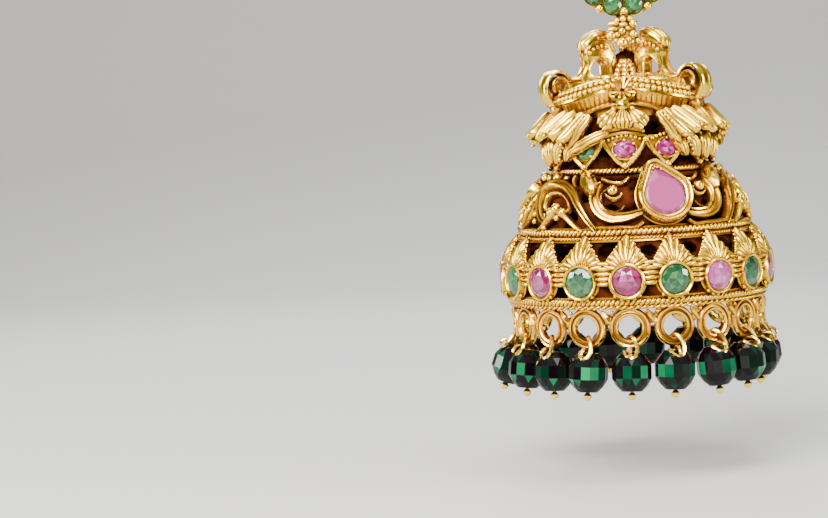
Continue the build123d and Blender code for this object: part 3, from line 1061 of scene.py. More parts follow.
@dataclass(frozen=True)
class Card:
    """Work card of one piece: its name, finish and slot, the CAD nodes it stands for, and its body."""

    name: str
    finish: Finish = GOLD
    slot: Slot = Slot.GOLD
    stands_for: tuple[str, ...] = ()
    body: Body = Body.DROP


def set_facet_glints(piece: bpy.types.Object, glint_levels: Array) -> None:
    """Gives each face of a piece its painted glint level."""
    attribute = piece.data.attributes.new("tone", "FLOAT", "FACE")
    attribute.data.foreach_set("value", np.asarray(glint_levels, np.float32))


@dataclass
class Workshop:
    """Turns clay into finished pieces on their bodies."""

    ropes: Recipe = field(default_factory=rope_recipe)
    rings: Recipe = field(default_factory=ring_recipe)
    granules: Recipe = field(default_factory=granule_recipe)
    hangings: Recipe = field(default_factory=hanging_recipe)

    def settle(self, piece: bpy.types.Object, card: Card) -> bpy.types.Object:
        """Dresses a piece and sets it on its body.

        Args:
            piece: The piece.
            card: Its work card.

        Returns:
            The piece.
        """
        piece.data.materials.clear()
        piece.data.materials.append(card.finish.material)
        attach(piece, card.body.value)
        if card.stands_for:
            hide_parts(*card.stands_for)
        LOG.info("%s: %d faces on %s", piece.name, len(piece.data.polygons), card.body.value)
        return piece

    def plain(self, clay: Clay, card: Card) -> bpy.types.Object:
        """Makes one piece from clay as it is."""
        return self.settle(stand(card.name, clay.mesh(card.name, card.finish.crease)), card)

    def gem(self, clay: Clay, card: Card, out: Sequence[float], table: Pair, rim: Pair, seed: int) -> None:
        """Makes a cut stone, or several that face one way, whose facets get painted glints.

        Args:
            clay: The clay.
            card: Work card of the piece.
            out: Direction that the stone's table faces.
            table: Least and greatest painted glint level on the table.
            rim: Least and greatest painted glint level elsewhere.
            seed: Seed of the random draw.
        """
        piece = self.plain(clay, card)
        normals = np.array([p.normal for p in piece.data.polygons])
        flat = normals @ unit(np.asarray(out, float)) > TABLE_COSINE
        draw = np.random.default_rng(seed).random(len(normals))
        low, high = np.where(flat[:, None], table, rim).T
        set_facet_glints(piece, low + draw * (high - low))

    def around(self, clay: Clay, card: Card, count: int, first: float) -> None:
        """Makes one piece from clay that is repeated round the drop's axis.

        Args:
            clay: The clay of one unit, at azimuth 0.
            card: Work card of the piece.
            count: How many units there are.
            first: Azimuth of one of them, in degrees.
        """
        values = {"Count": count, "First Turn": math.radians(first), "Finish": card.finish.material}
        mesh = clay.mesh(card.name, card.finish.crease)
        self.settle(self.rings.run(mesh, card.name, values), card)

    def rows(self, paths: Sequence[Array], name: str, sizes: Triple, count: int, first: float) -> None:
        """Makes rows of granules along paths, repeated round the drop's axis.

        Args:
            paths: Paths of one unit, at azimuth 0.
            name: Name of the piece.
            sizes: Distance between two granules, their radius and the share by which they differ.
            count: How many units there are.
            first: Azimuth of one of them, in degrees.
        """
        spacing, radius, spread = sizes
        mesh = bpy.data.meshes.new(name + "_paths")
        points, edges = [], []
        for turn in range(count):
            spin = np.array(Matrix.Rotation(math.radians(first) + turn * TURN / count, 3, "Z"))
            for path in paths:
                start = len(points)
                points.extend((path @ spin.T * MM).tolist())
                edges.extend((i, i + 1) for i in range(start, len(points) - 1))
        mesh.from_pydata(points, edges, [])
        values = {"Spacing": spacing * MM, "Granule Radius": radius * MM, "Spread": spread, "Seed": SEED}
        values["Finish"] = GOLD.material
        self.settle(self.granules.run(mesh, name, values), Card(name))

    def rope(self, card: Card, radius: float, thickness: float, drop: float, turns: int) -> None:
        """Makes a rope of two twisted strands round the drop.

        Args:
            card: Work card of the piece.
            radius: Radius of the ring that the rope makes.
            thickness: Thickness of the rope.
            drop: Its height below the stud's lowest point.
            turns: Turns of its strands.
        """
        values = {
            "Ring Radius": radius * MM,
            "Twist Radius": thickness / 4 * MM,
            "Strand Radius": thickness / 3.6 * MM,
            "Height": (-STUD_R - drop) * MM,
            "Turns": turns,
            "Strands": 2,
            "Samples": turns * SAMPLES_PER_TURN,
            "Finish": card.finish.material,
        }
        self.settle(self.ropes.run(bpy.data.meshes.new(card.name + "_seed"), card.name, values), card)

    def hung(self, unit_clay: Clay, places: Sequence[Matrix], card: Card) -> bpy.types.Object:
        """Makes one piece from a unit hung in several places.

        Args:
            unit_clay: The clay of the unit.
            places: Frames that it hangs in.
            card: Work card of the piece.

        Returns:
            The piece.
        """
        name = card.name + "_unit"
        pattern = stand(name, unit_clay.mesh(name, card.finish.crease))
        points = bpy.data.meshes.new(card.name + "_points")
        points.from_pydata([tuple(p.translation * MM) for p in places], [], [])
        lean = points.attributes.new("lean", "FLOAT_VECTOR", "POINT")
        lean.data.foreach_set("vector", [a for p in places for a in p.to_euler("XYZ")])
        piece = self.hangings.run(points, card.name, {"Unit": pattern, "Finish": card.finish.material})
        bpy.data.objects.remove(pattern)
        return self.settle(piece, card)


# --- Stud and link ---


@dataclass
class Stud:
    """Round ear stud: collets and stones, the flower below them, the post and its nut."""

    plate_r: float = 5.15
    plate_t: float = 0.8
    count: int = 12
    row_r: float = 4.15
    stone_r: float = 0.95
    lip: float = 1.92
    centre_r: float = 2.65
    granule_row_r: float = 4.93
    granule_r: float = 0.45
    inner_row_r: float = 3.22
    flower: Triple = (-0.25, -2.95, 1.3)
    grains: tuple[Triple, ...] = (
        (0, 0, 0.42), (-1.15, -0.4, 0.56), (-0.05, -1.2, 0.64), (1.55, -1.05, 0.3),
        (1.1, -0.35, 0.46), (0.62, -0.85, 0.34), (-0.65, -0.95, 0.34), (1.15, 0.7, 0.46),
        (0.15, 1.2, 0.4), (0.85, 1.2, 0.36), (-0.5, 1.1, 0.32), (0.3, 2, 0.42), (0.6, 0.25, 0.3),
        (-0.5, -0.35, 0.34),
    )
    bars: tuple[Triple, ...] = ((-0.85, 0.8, 0.7), (-0.95, 0.25, 0.5), (0.15, 0.65, 0.4))
    eye: Triple = (0.75, 0.22, 0.15)

    @property
    def face(self) -> Matrix:
        """Frame of the stud, with its Z towards the viewer."""
        return Matrix.Rotation(math.pi / 2, 4, "X")

    def around(self, radius: float, index: float, height: float) -> Matrix:
        """Frame on a circle of the stud's face, where index 0 is straight down."""
        angle = -math.pi / 2 + index * TURN / self.count
        return self.face @ Matrix.Translation((radius * math.cos(angle), radius * math.sin(angle), height))

    def setting(self) -> Clay:
        """Plate, collets, granules and eye.

        Returns:
            The clay.
        """
        clay = Clay()
        r, t = self.plate_r, self.plate_t
        clay.lathe([(0, 0), (r - 0.15, 0), (r, 0.15), (r, t - 0.2), (r - 0.2, t), (0, t)], self.face, 72)
        height = self.lip - t + 0.25
        small, large = self.stone_r + 0.08, self.centre_r + 0.14
        for i in range(self.count):
            clay.collet(oval(small, small, 24), self.around(self.row_r, i + 0.5, self.lip), 0.16, height)
            clay.ball(self.around(self.granule_row_r, i, self.lip - 0.02).translation, self.granule_r, 8, 14)
            clay.ball(self.around(self.inner_row_r, i, self.lip - 0.1).translation, 0.2)
        centre = self.face @ Matrix.Translation((0, 0, self.lip + 0.1))
        clay.collet(oval(large, large, 56), centre, 0.24, height + 0.1)
        angles = np.degrees(np.arange(8) * TURN / 8 + 0.2)
        clay.claws(centre, (self.centre_r, self.centre_r), angles, 0.1, 0.2)
        clay.wire_eye(self.eye)
        return clay

    def flower_clay(self) -> Clay:
        """Tongue and flower of granules.

        Returns:
            The clay.
        """
        clay = Clay()
        x, y, drop = self.flower
        z = -STUD_R - drop
        tongue = [(x * 0.3, -0.6, 0.3 - STUD_R), (x * 0.5, -1.6, 0.1 - STUD_R)]
        tongue += [(x * 0.8, -2.5, -0.35 - STUD_R), (x, y + 0.1, z)]
        clay.sweep(smooth(tongue, 5), (0, -0.6, 0.8), ROUND, 0.7, 0.3)
        disc = [(0, -0.3), (0.85, -0.3), (0.95, -0.1), (0.8, 0.05), (0, 0.05)]
        clay.lathe(disc, Matrix.Translation((x, y, z)) @ self.face, 32)
        for right, up, size in self.grains:
            clay.ball((x + right, y - 0.15 + 0.25 * max(up - 1, 0), z + up), size, 8, 14)
        for right, up, long in self.bars:
            clay.tube([(x + right + t * long, y - 0.2, z + up) for t in (-0.5, 0, 0.5)], 0.27, False, 10)
        return clay

    def post(self) -> Clay:
        """Post with its flange and notches, and its knurled nut.

        Returns:
            The clay.
        """
        clay = Clay()
        back = Matrix.Rotation(-math.pi / 2, 4, "X")
        pin = [(0, 0.05), (1.2, 0.05), (1.2, 0.36), (1.12, 0.45), (0.6, 0.5), (0.5, 0.62), (0.5, 8.75)]
        pin += [(0.4, 8.85), (0.4, 9.1), (0.5, 9.2), (0.5, 9.6), (0.42, 9.85), (0.25, 10), (0, 10.05)]
        clay.lathe(pin, back, 28)
        nut = [(0.5, 6.05), (2.4, 6), (2.62, 6.1), (2.68, 6.35), (2.68, 7.85), (2.6, 8.1), (2.35, 8.2)]
        clay.lathe(nut + [(1.2, 8.1), (0.5, 8.2)], back, 48, True)
        for x, z in oval(2.66, 2.66, 30):
            clay.tube([(x, y, z) for y in (6.4, 7.1, 7.8)], 0.09, sides=6)
        return clay

    def build(self, shop: Workshop) -> None:
        """Makes the stud's pieces.

        Args:
            shop: Where they are made.
        """
        stud, front, lip, row = Body.STUD, (0, -1, 0), self.lip, range(self.count)
        shop.plain(self.setting(), Card("stud_collets", stands_for=("stud_setting",), body=stud))
        shop.plain(self.flower_clay(), Card("stud_flower", body=stud))
        shop.plain(self.post(), Card("ear_post_and_nut", stands_for=("ear_post",), body=stud))
        card = Card("stud_gems", GREEN, Slot.GREEN, ("stud_stones",), stud)
        cuts = [(self.stone_r, 0.3, 0.7, self.around(self.row_r, i + 0.5, lip - 0.08)) for i in row]
        shop.gem(brilliants(cuts), card, front, (0.35, 0.85), (0.1, 0.7), SEED)
        card = Card("stud_centre_gem", RUBY, Slot.PINK, ("stud_centre_stone",), stud)
        cuts = [(self.centre_r, 0.55, 0.7, self.face @ Matrix.Translation((0, 0, lip - 0.02)))]
        shop.gem(brilliants(cuts), card, front, (0.4, 0.8), (0.1, 0.9), SEED + 1)


@dataclass
class Link:
    """Ring between the stud and the drop."""

    ring_r: float = 0.95
    wire_r: float = 0.25
    drop: float = 1.34

    def build(self, shop: Workshop) -> None:
        """Makes the ring, with its fine butt joint at the top.

        Args:
            shop: Where it is made.
        """
        clay = Clay()
        angle = math.pi / 2 + np.linspace(0.03, TURN - 0.03, 60)
        z = self.ring_r * np.sin(angle) - STUD_R - self.drop
        path = np.column_stack([self.ring_r * np.cos(angle), 0 * z, z])
        clay.sweep(path, (0, 1, 0), ROUND, self.wire_r, self.wire_r)
        shop.plain(clay, Card("link_ring_wire", stands_for=("link_ring",), body=Body.LINK))


# --- Crown ---


def in_plane(rows: Sequence[Pair], aside: float = 0.0) -> Array:
    """Points of (radius, drop) rows in the radial plane at azimuth 0."""
    rows = np.asarray(rows, float)
    return spot(0.0, rows[:, 0], rows[:, 1], aside)


@dataclass
class Crown:
    """Crown: three S brackets with crests and volutes, beaded wings, leaves and lotus petals with stones."""

    brackets: int = 3
    bracket_phase: float = PHASE + 60.0
    bracket_t: float = 1.35
    petals: int = 12
    petal_wall: Wall = Wall((7.95, 11.7), (8.15, 13.4), (7.95, 15.2))
    stone_w: float = 2.2
    stone_h: float = 1.8
    stone_drop: float = 13.15
    stone_face_r: float = 8.35
    volute_centre: Pair = (8.05, 6.85)
    volute_r: float = 1.45
    eye: Triple = (0.75, 0.25, 2.5)
    outline: tuple[Pair, ...] = (
        (1, 6.8), (1.2, 5.6), (1.3, 4.4), (1.6, 3.2), (2.4, 2.1), (3.5, 1.95), (4.45, 2.6), (4.8, 3.4),
        (4.7, 4.1), (4.8, 4.9), (5.3, 5.6), (6.3, 6), (7.1, 6.2), (7.4, 7.5), (5, 7.9), (2.6, 7.4),
    )
    hole: tuple[Pair, ...] = (
        (2.8, 4.4), (3.3, 3.95), (3.85, 4.3), (4.35, 5), (4.2, 5.55), (3.4, 5.72), (2.75, 5.68),
        (2.7, 5.0),
    )

    def core(self) -> Clay:
        """Turned cap under the brackets and the eye.

        Returns:
            The clay.
        """
        clay = Clay()
        cap = [(0, 3.1), (0.45, 3.2), (0.45, 4.3), (0.7, 4.7), (0.8, 6.2), (2.6, 6.8), (5.8, 7.5), (7.1, 8.3)]
        cap += [(7.4, 9.2), (7.2, 9.9), (6.8, 9.9), (6.8, 9), (5.8, 8.4), (0, 7.6)]
        clay.turn(cap, 96, False)
        clay.wire_eye(self.eye)
        return clay

    def inside(self) -> Clay:
        """Inner wall of the crown, seen through its openings, with the skirt behind the petals, all dark as
        painted shade.

        Returns:
            The clay.
        """
        clay = Clay()
        skirt = [(7.3, 12.1), (7.55, 12.5), (7.45, 14), (7.6, 15), (7.8, 15.65), (7.1, 15.65)]
        clay.turn(skirt + [(7.0, 13.6), (6.9, 12.1)], 96)
        clay.turn([(7.05, 9.3), (7.05, 12.6), (6.85, 12.6), (6.85, 9.3)], 64)
        clay.turn([(7.7, 14.9), (7.7, 16.05), (7.2, 16.05), (7.2, 14.9)], 64)
        column = [(0, 3.3), (0.6, 3.35), (1.05, 3.6), (1.2, 4.1), (1.3, 5.2), (1.4, 6.7), (0, 6.7)]
        clay.turn(column, 32, False)
        return clay

    def bracket(self) -> Clay:
        """One pierced S bracket with its rims, its column and its crest.

        Returns:
            The clay.
        """
        clay = Clay()
        outline = smooth(self.outline, 5, True)
        hole = smooth(self.hole, 5, True)
        flip = np.array((1.0, -1.0))
        points, faces = cut_plate(outline * flip, [hole * flip], self.bracket_t, 0.2)
        clay.put(np.column_stack([points[:, 2], -points[:, 0], points[:, 1] - STUD_R]), faces)
        middle = hole.mean(0)
        for side in SIDES:
            aside = side * (self.bracket_t / 2 - 0.04)
            clay.tube(in_plane(middle + (hole - middle) * 1.14, aside), 0.15, True, 6)
            clay.tube(in_plane(outline[15:60], aside), 0.16, False, 6)
        clay.ball(spot(0.0, 7.9, 8.8), 0.85)
        column = smooth([(1.85, 3.7), (2.05, 4.5), (2, 5.4), (1.75, 6.3), (1.9, 6.9)], 5)
        clay.sweep(in_plane(column), (0, -1, 0), ROUND, 0.86, 0.42)
        crest = [(1.95, 1.75), (2.6, 1.5), (3.35, 1.52), (4.1, 1.88), (4.7, 2.45), (4.95, 3.1)]
        path = in_plane(smooth(crest, 5))
        half = taper(path, [0, 0.15, 0.5, 0.85, 1], [0.25, 0.85, 1.25, 1.1, 0.35])
        up = np.cross(along_path(path), (1.0, 0.0, 0.0))
        clay.leaf(path, up * np.sign(up[:, 2:3]), half, 4, 0.2, 0.35)
        for side in SIDES:
            for radius, drop in ((2.5, 2.8), (3, 2.65), (3.5, 2.7), (4, 2.95), (4.4, 3.3)):
                clay.ball(spot(0.0, radius, drop, side * 0.68), 0.28)
        return clay

    def volute(self) -> Clay:
        """One volute: a wide ribbon rolled into a spiral, with a ridge along each edge.

        Returns:
            The clay.
        """
        clay = Clay()
        angle = np.radians(np.linspace(150, -380, 60))
        size = taper(angle, [0, 0.6, 1], [1.0, 0.92, 0.32]) * self.volute_r
        r0, d0 = self.volute_centre
        roll = np.column_stack([r0 + size * np.cos(angle), d0 - 1.25 * size * np.sin(angle)])
        neck = smooth([(5.5, 5.9), (6.1, 6), (6.6, 6), tuple(roll[0])], 4)[:-1]
        line = np.vstack([neck, roll])
        share = np.linspace(0, 1, len(line))
        clay.sweep(in_plane(line), (1, 0, 0), ROUND, 0.24 - 0.06 * share, 0.86 - 0.2 * share)
        for side in SIDES:
            clay.tube(in_plane(line, side * 0.8), 0.2 - 0.05 * share)
        return clay

    def wing_line(self, side: int, lower: float = 0.0, out: float = 0.0, trim: int = 0) -> Array:
        """Curve along one wing, from the volute to the front.

        Args:
            side: Side of the bracket, -1 or 1.
            lower: Shift down the wing's face.
            out: Shift out of it.
            trim: Points left off at the front end.

        Returns:
            Points of the curve.
        """
        rows = [(11, 8.2, 7.35), (20, 8.15, 7.12), (32, 8.05, 6.75), (43, 7.8, 6.4), (52, 7.3, 6.2)]
        curve = smooth([*rows, (58, 6.7, 6.25)])
        curve = curve[: len(curve) - trim]
        radius = curve[:, 1] + 0.35 * lower + 0.85 * out
        return spot(side * curve[:, 0], radius, curve[:, 2] + 0.94 * lower - 0.5 * out)

    def wings(self) -> Clay:
        """Both wings of a bracket: the band under the granules and the ribbed hollow below it.

        Returns:
            The clay.
        """
        clay = Clay()
        turn = np.linspace(7, 57, 100)
        radius = np.interp(turn, [7, 20, 32, 43, 52, 58], [7.85, 7.85, 7.85, 7.85, 7.8, 7.75])
        drop = np.interp(turn, [7, 20, 32, 43, 52, 58], [8.35, 8.1, 7.75, 7.4, 7.2, 7.2])
        tall = np.interp(turn, [7, 30, 57], [1.6, 1.75, 1.4])
        ribs = np.abs(np.sin(turn * math.pi / 4.2)) ** 0.7
        down = np.linspace(0, 1, 9)
        hollow = np.interp(down, [0, 0.35, 0.75, 1], [0.2, -0.3, -0.5, 0.0])
        grid_r = radius[:, None] + hollow + 0.2 * ribs[:, None] * np.sin(down * math.pi)
        grid_d = drop[:, None] + down * tall[:, None]
        for side in SIDES:
            line = self.wing_line(side, 0.45, -0.12)
            out = unit(line * (1, 1, 0)) * 0.85 + np.array((0, 0, 0.5))
            clay.sweep(line, out, ROUND, 0.62 - 0.2 * np.linspace(0, 1, len(line)), 0.3)
            clay.tube(self.wing_line(side, 1.05, 0.02), 0.18, False, 6)
            clay.tube(self.wing_line(side, -0.2, 0.0), 0.13, False, 6)
            front = spot(side * turn[:, None], grid_r, grid_d)
            clay.slab(front, spot(side * turn[:, None], grid_r - 0.45, grid_d + 0.05))
            clay.tube(front[:, -1], 0.14, False, 6)
        return clay

    def wing_rows(self) -> list[Array]:
        """Paths of the granule rows on both wings, at azimuth 0."""
        return [self.wing_line(side, lower, 0.16, 5) for side in SIDES for lower in (0.18, 0.74)]

    def leaves(self) -> Clay:
        """Feathers that hang from under the wings and sweep towards the bracket, in two layers.

        Returns:
            The clay.
        """
        clay = Clay()
        feathers = [
            ((35, 8, 9.6), (28, 8.6, 11), (23, 9.1, 12.8), 0.62),
            ((30, 8.1, 9.4), (23, 8.9, 10.8), (18, 10.1, 12.2), 0.7),
            ((24, 8.2, 9.3), (18, 9.3, 10.4), (15, 10.6, 11.6), 0.76),
            ((16, 8.3, 9.3), (11, 9.4, 10.3), (7, 10.7, 11.4), 0.76),
            ((26, 8.4, 12), (20, 8.8, 13), (17, 8.75, 14.1), 0.62),
            ((15, 8.5, 11.8), (10, 9, 12.9), (8, 8.85, 14.3), 0.7),
        ]
        singles = [
            ((0, 8.2, 9.3), (0, 9.3, 10.4), (0, 10.4, 11.8), 0.8),
            ((0, 8.6, 11.8), (0, 9.1, 13), (0, 8.9, 14.5), 0.75),
            ((49, 8.4, 11.3), (36, 9.1, 12.2), (23, 9.2, 13.3), 0.55),
        ]
        folds = [(side, feather) for side in SIDES for feather in feathers] + [(1, leaf) for leaf in singles]
        for side, (*knots, wide) in folds:
            path = spot(*(smooth(knots, 8) * (side, 1, 1)).T)
            half = taper(path, [0, 0.25, 0.7, 0.9, 1], [0.55, 1.0, 0.95, 0.6, 0.12]) * wide
            clay.leaf(path, unit(path * (1, 1, 0)) + np.array((0, 0, 0.35)), half, 3, 0.16, 0.28)
        return clay

    def feather_rows(self) -> list[Array]:
        """Paths of the granules that edge the feathers, at azimuth 0.

        Returns:
            One path a row.
        """
        edges = (
            ((33, 8.4, 9.6), (26, 9.1, 10.9), (20, 10, 12.4)),
            ((20, 8.5, 9.4), (15, 9.6, 10.4), (11, 10.7, 11.4)),
            ((21, 8.75, 12.1), (15, 9.15, 13), (12, 9.05, 13.9)),
        )
        return [spot(*(smooth(knots) * (side, 1, 1)).T) for side in SIDES for knots in edges]

    def front(self) -> Clay:
        """Middle of a side, between two brackets: rosette, boss, fan leaf, ridges and granules.

        Returns:
            The clay.
        """
        clay = Clay()
        place = facing(0, 7.5, 7.3, 38)
        for i in range(14):
            reach = np.linspace(0.3, 1.35 if i % 2 else 1.15, 6)
            x, y = math.cos(i * TURN / 14), math.sin(i * TURN / 14)
            rib = Clay()
            height = 0.05 + 0.32 * (reach / reach[-1]) ** 2
            rib.tube(np.column_stack([reach * x, reach * y, height]), np.linspace(0.08, 0.19, 6), False, 6)
            clay.copy(rib, place)
        disc = [(0, -0.5), (1.3, -0.4), (1.45, 0.1), (1.3, 0.22), (0.8, -0.02), (0.3, -0.12), (0.2, -0.4)]
        clay.lathe(disc + [(0, -0.42)], place, 32)
        boss = [(0, -0.6), (0.62, -0.5), (0.8, 0), (0.62, 0.5), (0.3, 0.7), (0, 0.75)]
        clay.lathe(boss, facing(0, 8.0, 8.75, 20), 20)
        for side in SIDES:
            clay.ball(spot(side * 6.5, 8.1, 9.15), 0.34)
        self.fan(clay)
        for drop, half, size in ((10.65, 11, 0.2), (11.05, 13, 0.24), (11.5, 16, 0.2)):
            turn = np.linspace(-half, half, 14)
            bulge = 8.3 + 0.1 * np.cos(np.radians(turn * 6))
            clay.tube(spot(turn, bulge, drop + 0.02 * turn**2 / 10), size, False, 6)
        heap = ((4.45, 0.3, 0.4), (4.85, 0.55, 0.42), (5.3, 0.72, 0.44), (5.75, 0.8, 0.46), (6.2, 0.85, 0.5))
        for drop, wide, size in heap:
            for share in (-1, 0, 1):
                clay.ball(spot(0, 1.2 + (drop - 4.35) * 0.4 + 0.15 * (share == 0), drop, share * wide), size)
        for side in SIDES:
            for lower in (0.0, 0.38):
                turn = np.linspace(3, 30, 10)
                path = spot(side * turn, 6.0 - 0.03 * turn, 5.95 + lower - 0.006 * turn)
                clay.tube(path, np.interp(turn, [3, 12, 30], [0.1, 0.24, 0.12]), False, 6)
        return clay

    def fan(self, clay: Clay) -> None:
        """Adds the fan leaf under the boss and a small leaf on each side of it.

        Args:
            clay: Where they are added.
        """
        leaves = ((-5, -9, 1.5, 1, 3), (5, 9, 1.5, 1, 3), (0, 0, 1.65, 1.15, 5))
        for turn, lean, long, wide, ribs in leaves:
            share = np.linspace(0, 1, 9)
            radius = (8.0 if turn else 8.2) + 0.75 * np.sin(share * 2.2)
            path = spot(turn + lean * share, radius, 9.2 + long * share)
            half = wide * taper(path, [0, 0.3, 0.75, 1], [0.25, 0.62, 1.0, 0.8])
            clay.leaf(path, unit(path * (1, 1, 0)) + np.array((0, 0, 0.3)), half, ribs, 0.2, 0.3)

    def petal(self) -> Clay:
        """One lotus petal with its pointed rim, its stone's collet and the grains beside it.

        Returns:
            The clay.
        """
        clay = Clay()
        wall = self.petal_wall
        drop = np.linspace(11.85, 14.8, 14)
        half = np.interp(drop, [11.85, 12.35, 13.25, 14.8], [1.95, 2.0, 1.55, 0.08])
        share = np.linspace(-1, 1, 9)
        along = half[:, None] * share
        lift = 0.12 - 0.18 * share**2 + 0 * along
        clay.slab(wall.on(along, drop[:, None], lift), wall.on(along, drop[:, None], lift - 0.55))
        for side in SIDES:
            rim = smooth([(side * 2.12, 12.2), (side * 1.7, 13.05), (side * 0.85, 14.1), (0, 14.87)])
            clay.tube(wall.on(rim[:, 0], rim[:, 1], 0.25), 0.22)
        place = facing(0, self.stone_face_r + 0.02, self.stone_drop)
        half_w, half_h = self.stone_w / 2, self.stone_h / 2
        clay.collet(oval(half_w + 0.12, half_h + 0.12), place, 0.22, 1.0)
        clay.claws(place, (half_w + 0.05, half_h + 0.05), (35, 90, 145, 215, 325), 0.02, 0.17)
        clay.ball(wall.on(0, 14.75, 0.25), 0.42)
        clay.ball(wall.on(2.1, 12.25, 0.22), 0.34)
        return clay

    def petal_rows(self) -> list[Array]:
        """Paths of the granules over each petal, at azimuth 0."""
        turn = np.linspace(-1.5, 1.5, 7)
        return [self.petal_wall.on(turn, 11.85 + 0.16 * turn**2, 0.25)]

    def build(self, shop: Workshop) -> None:
        """Makes the crown's pieces.

        Args:
            shop: Where they are made.
        """
        n, first = self.brackets, self.bracket_phase
        shop.plain(self.core(), Card("crown_core", DEEP_GOLD, stands_for=("crown",)))
        shop.plain(self.inside(), Card("crown_lining", SHADE_LINING))
        shop.around(self.bracket(), Card("crown_brackets"), n, first)
        shop.around(self.volute(), Card("crown_volutes"), n, first)
        shop.around(self.wings(), Card("crown_wings"), n, first)
        shop.around(self.leaves(), Card("crown_leaves"), n, first)
        shop.around(self.front(), Card("crown_fronts"), n, PHASE)
        shop.around(self.petal(), Card("crown_petals"), self.petals, PHASE)
        shop.rows(self.wing_rows(), "crown_wing_granules", (0.54, 0.3, 0.14), n, first)
        shop.rows(self.feather_rows(), "crown_leaf_granules", (0.44, 0.21, 0.14), n, first)
        shop.rows(self.petal_rows(), "crown_petal_granules", (0.42, 0.2, 0.12), self.petals, PHASE)
        shop.rope(Card("crown_rope"), 7.85, 0.72, 15.3, 56)
        # Painted glint levels of the crown's stones, the same range on table and rim.
        glint_levels, half, wide = (0.2, 0.95), self.stone_h / 2, self.stone_w / self.stone_h
        turns = [azimuth_of(i, self.petals) for i in range(self.petals)]
        places = [facing(turn, self.stone_face_r - 0.12, self.stone_drop) for turn in turns]
        green, pink = places[2::3], [place for i, place in enumerate(places) if i % 3 != 2]
        kinds = (("green", GREEN, Slot.GREEN, green), ("pink", RUBY, Slot.PINK, pink))
        for colour, finish, slot, row in kinds:
            card = Card(f"crown_gems_{colour}", finish, slot, (f"crown_stones_{colour}",))
            cuts = [(half, 0.3, 0.55, place, wide) for place in row]
            shop.gem(brilliants(cuts), card, (0, -1, 0), glint_levels, glint_levels, SEED)


# --- Bell ---


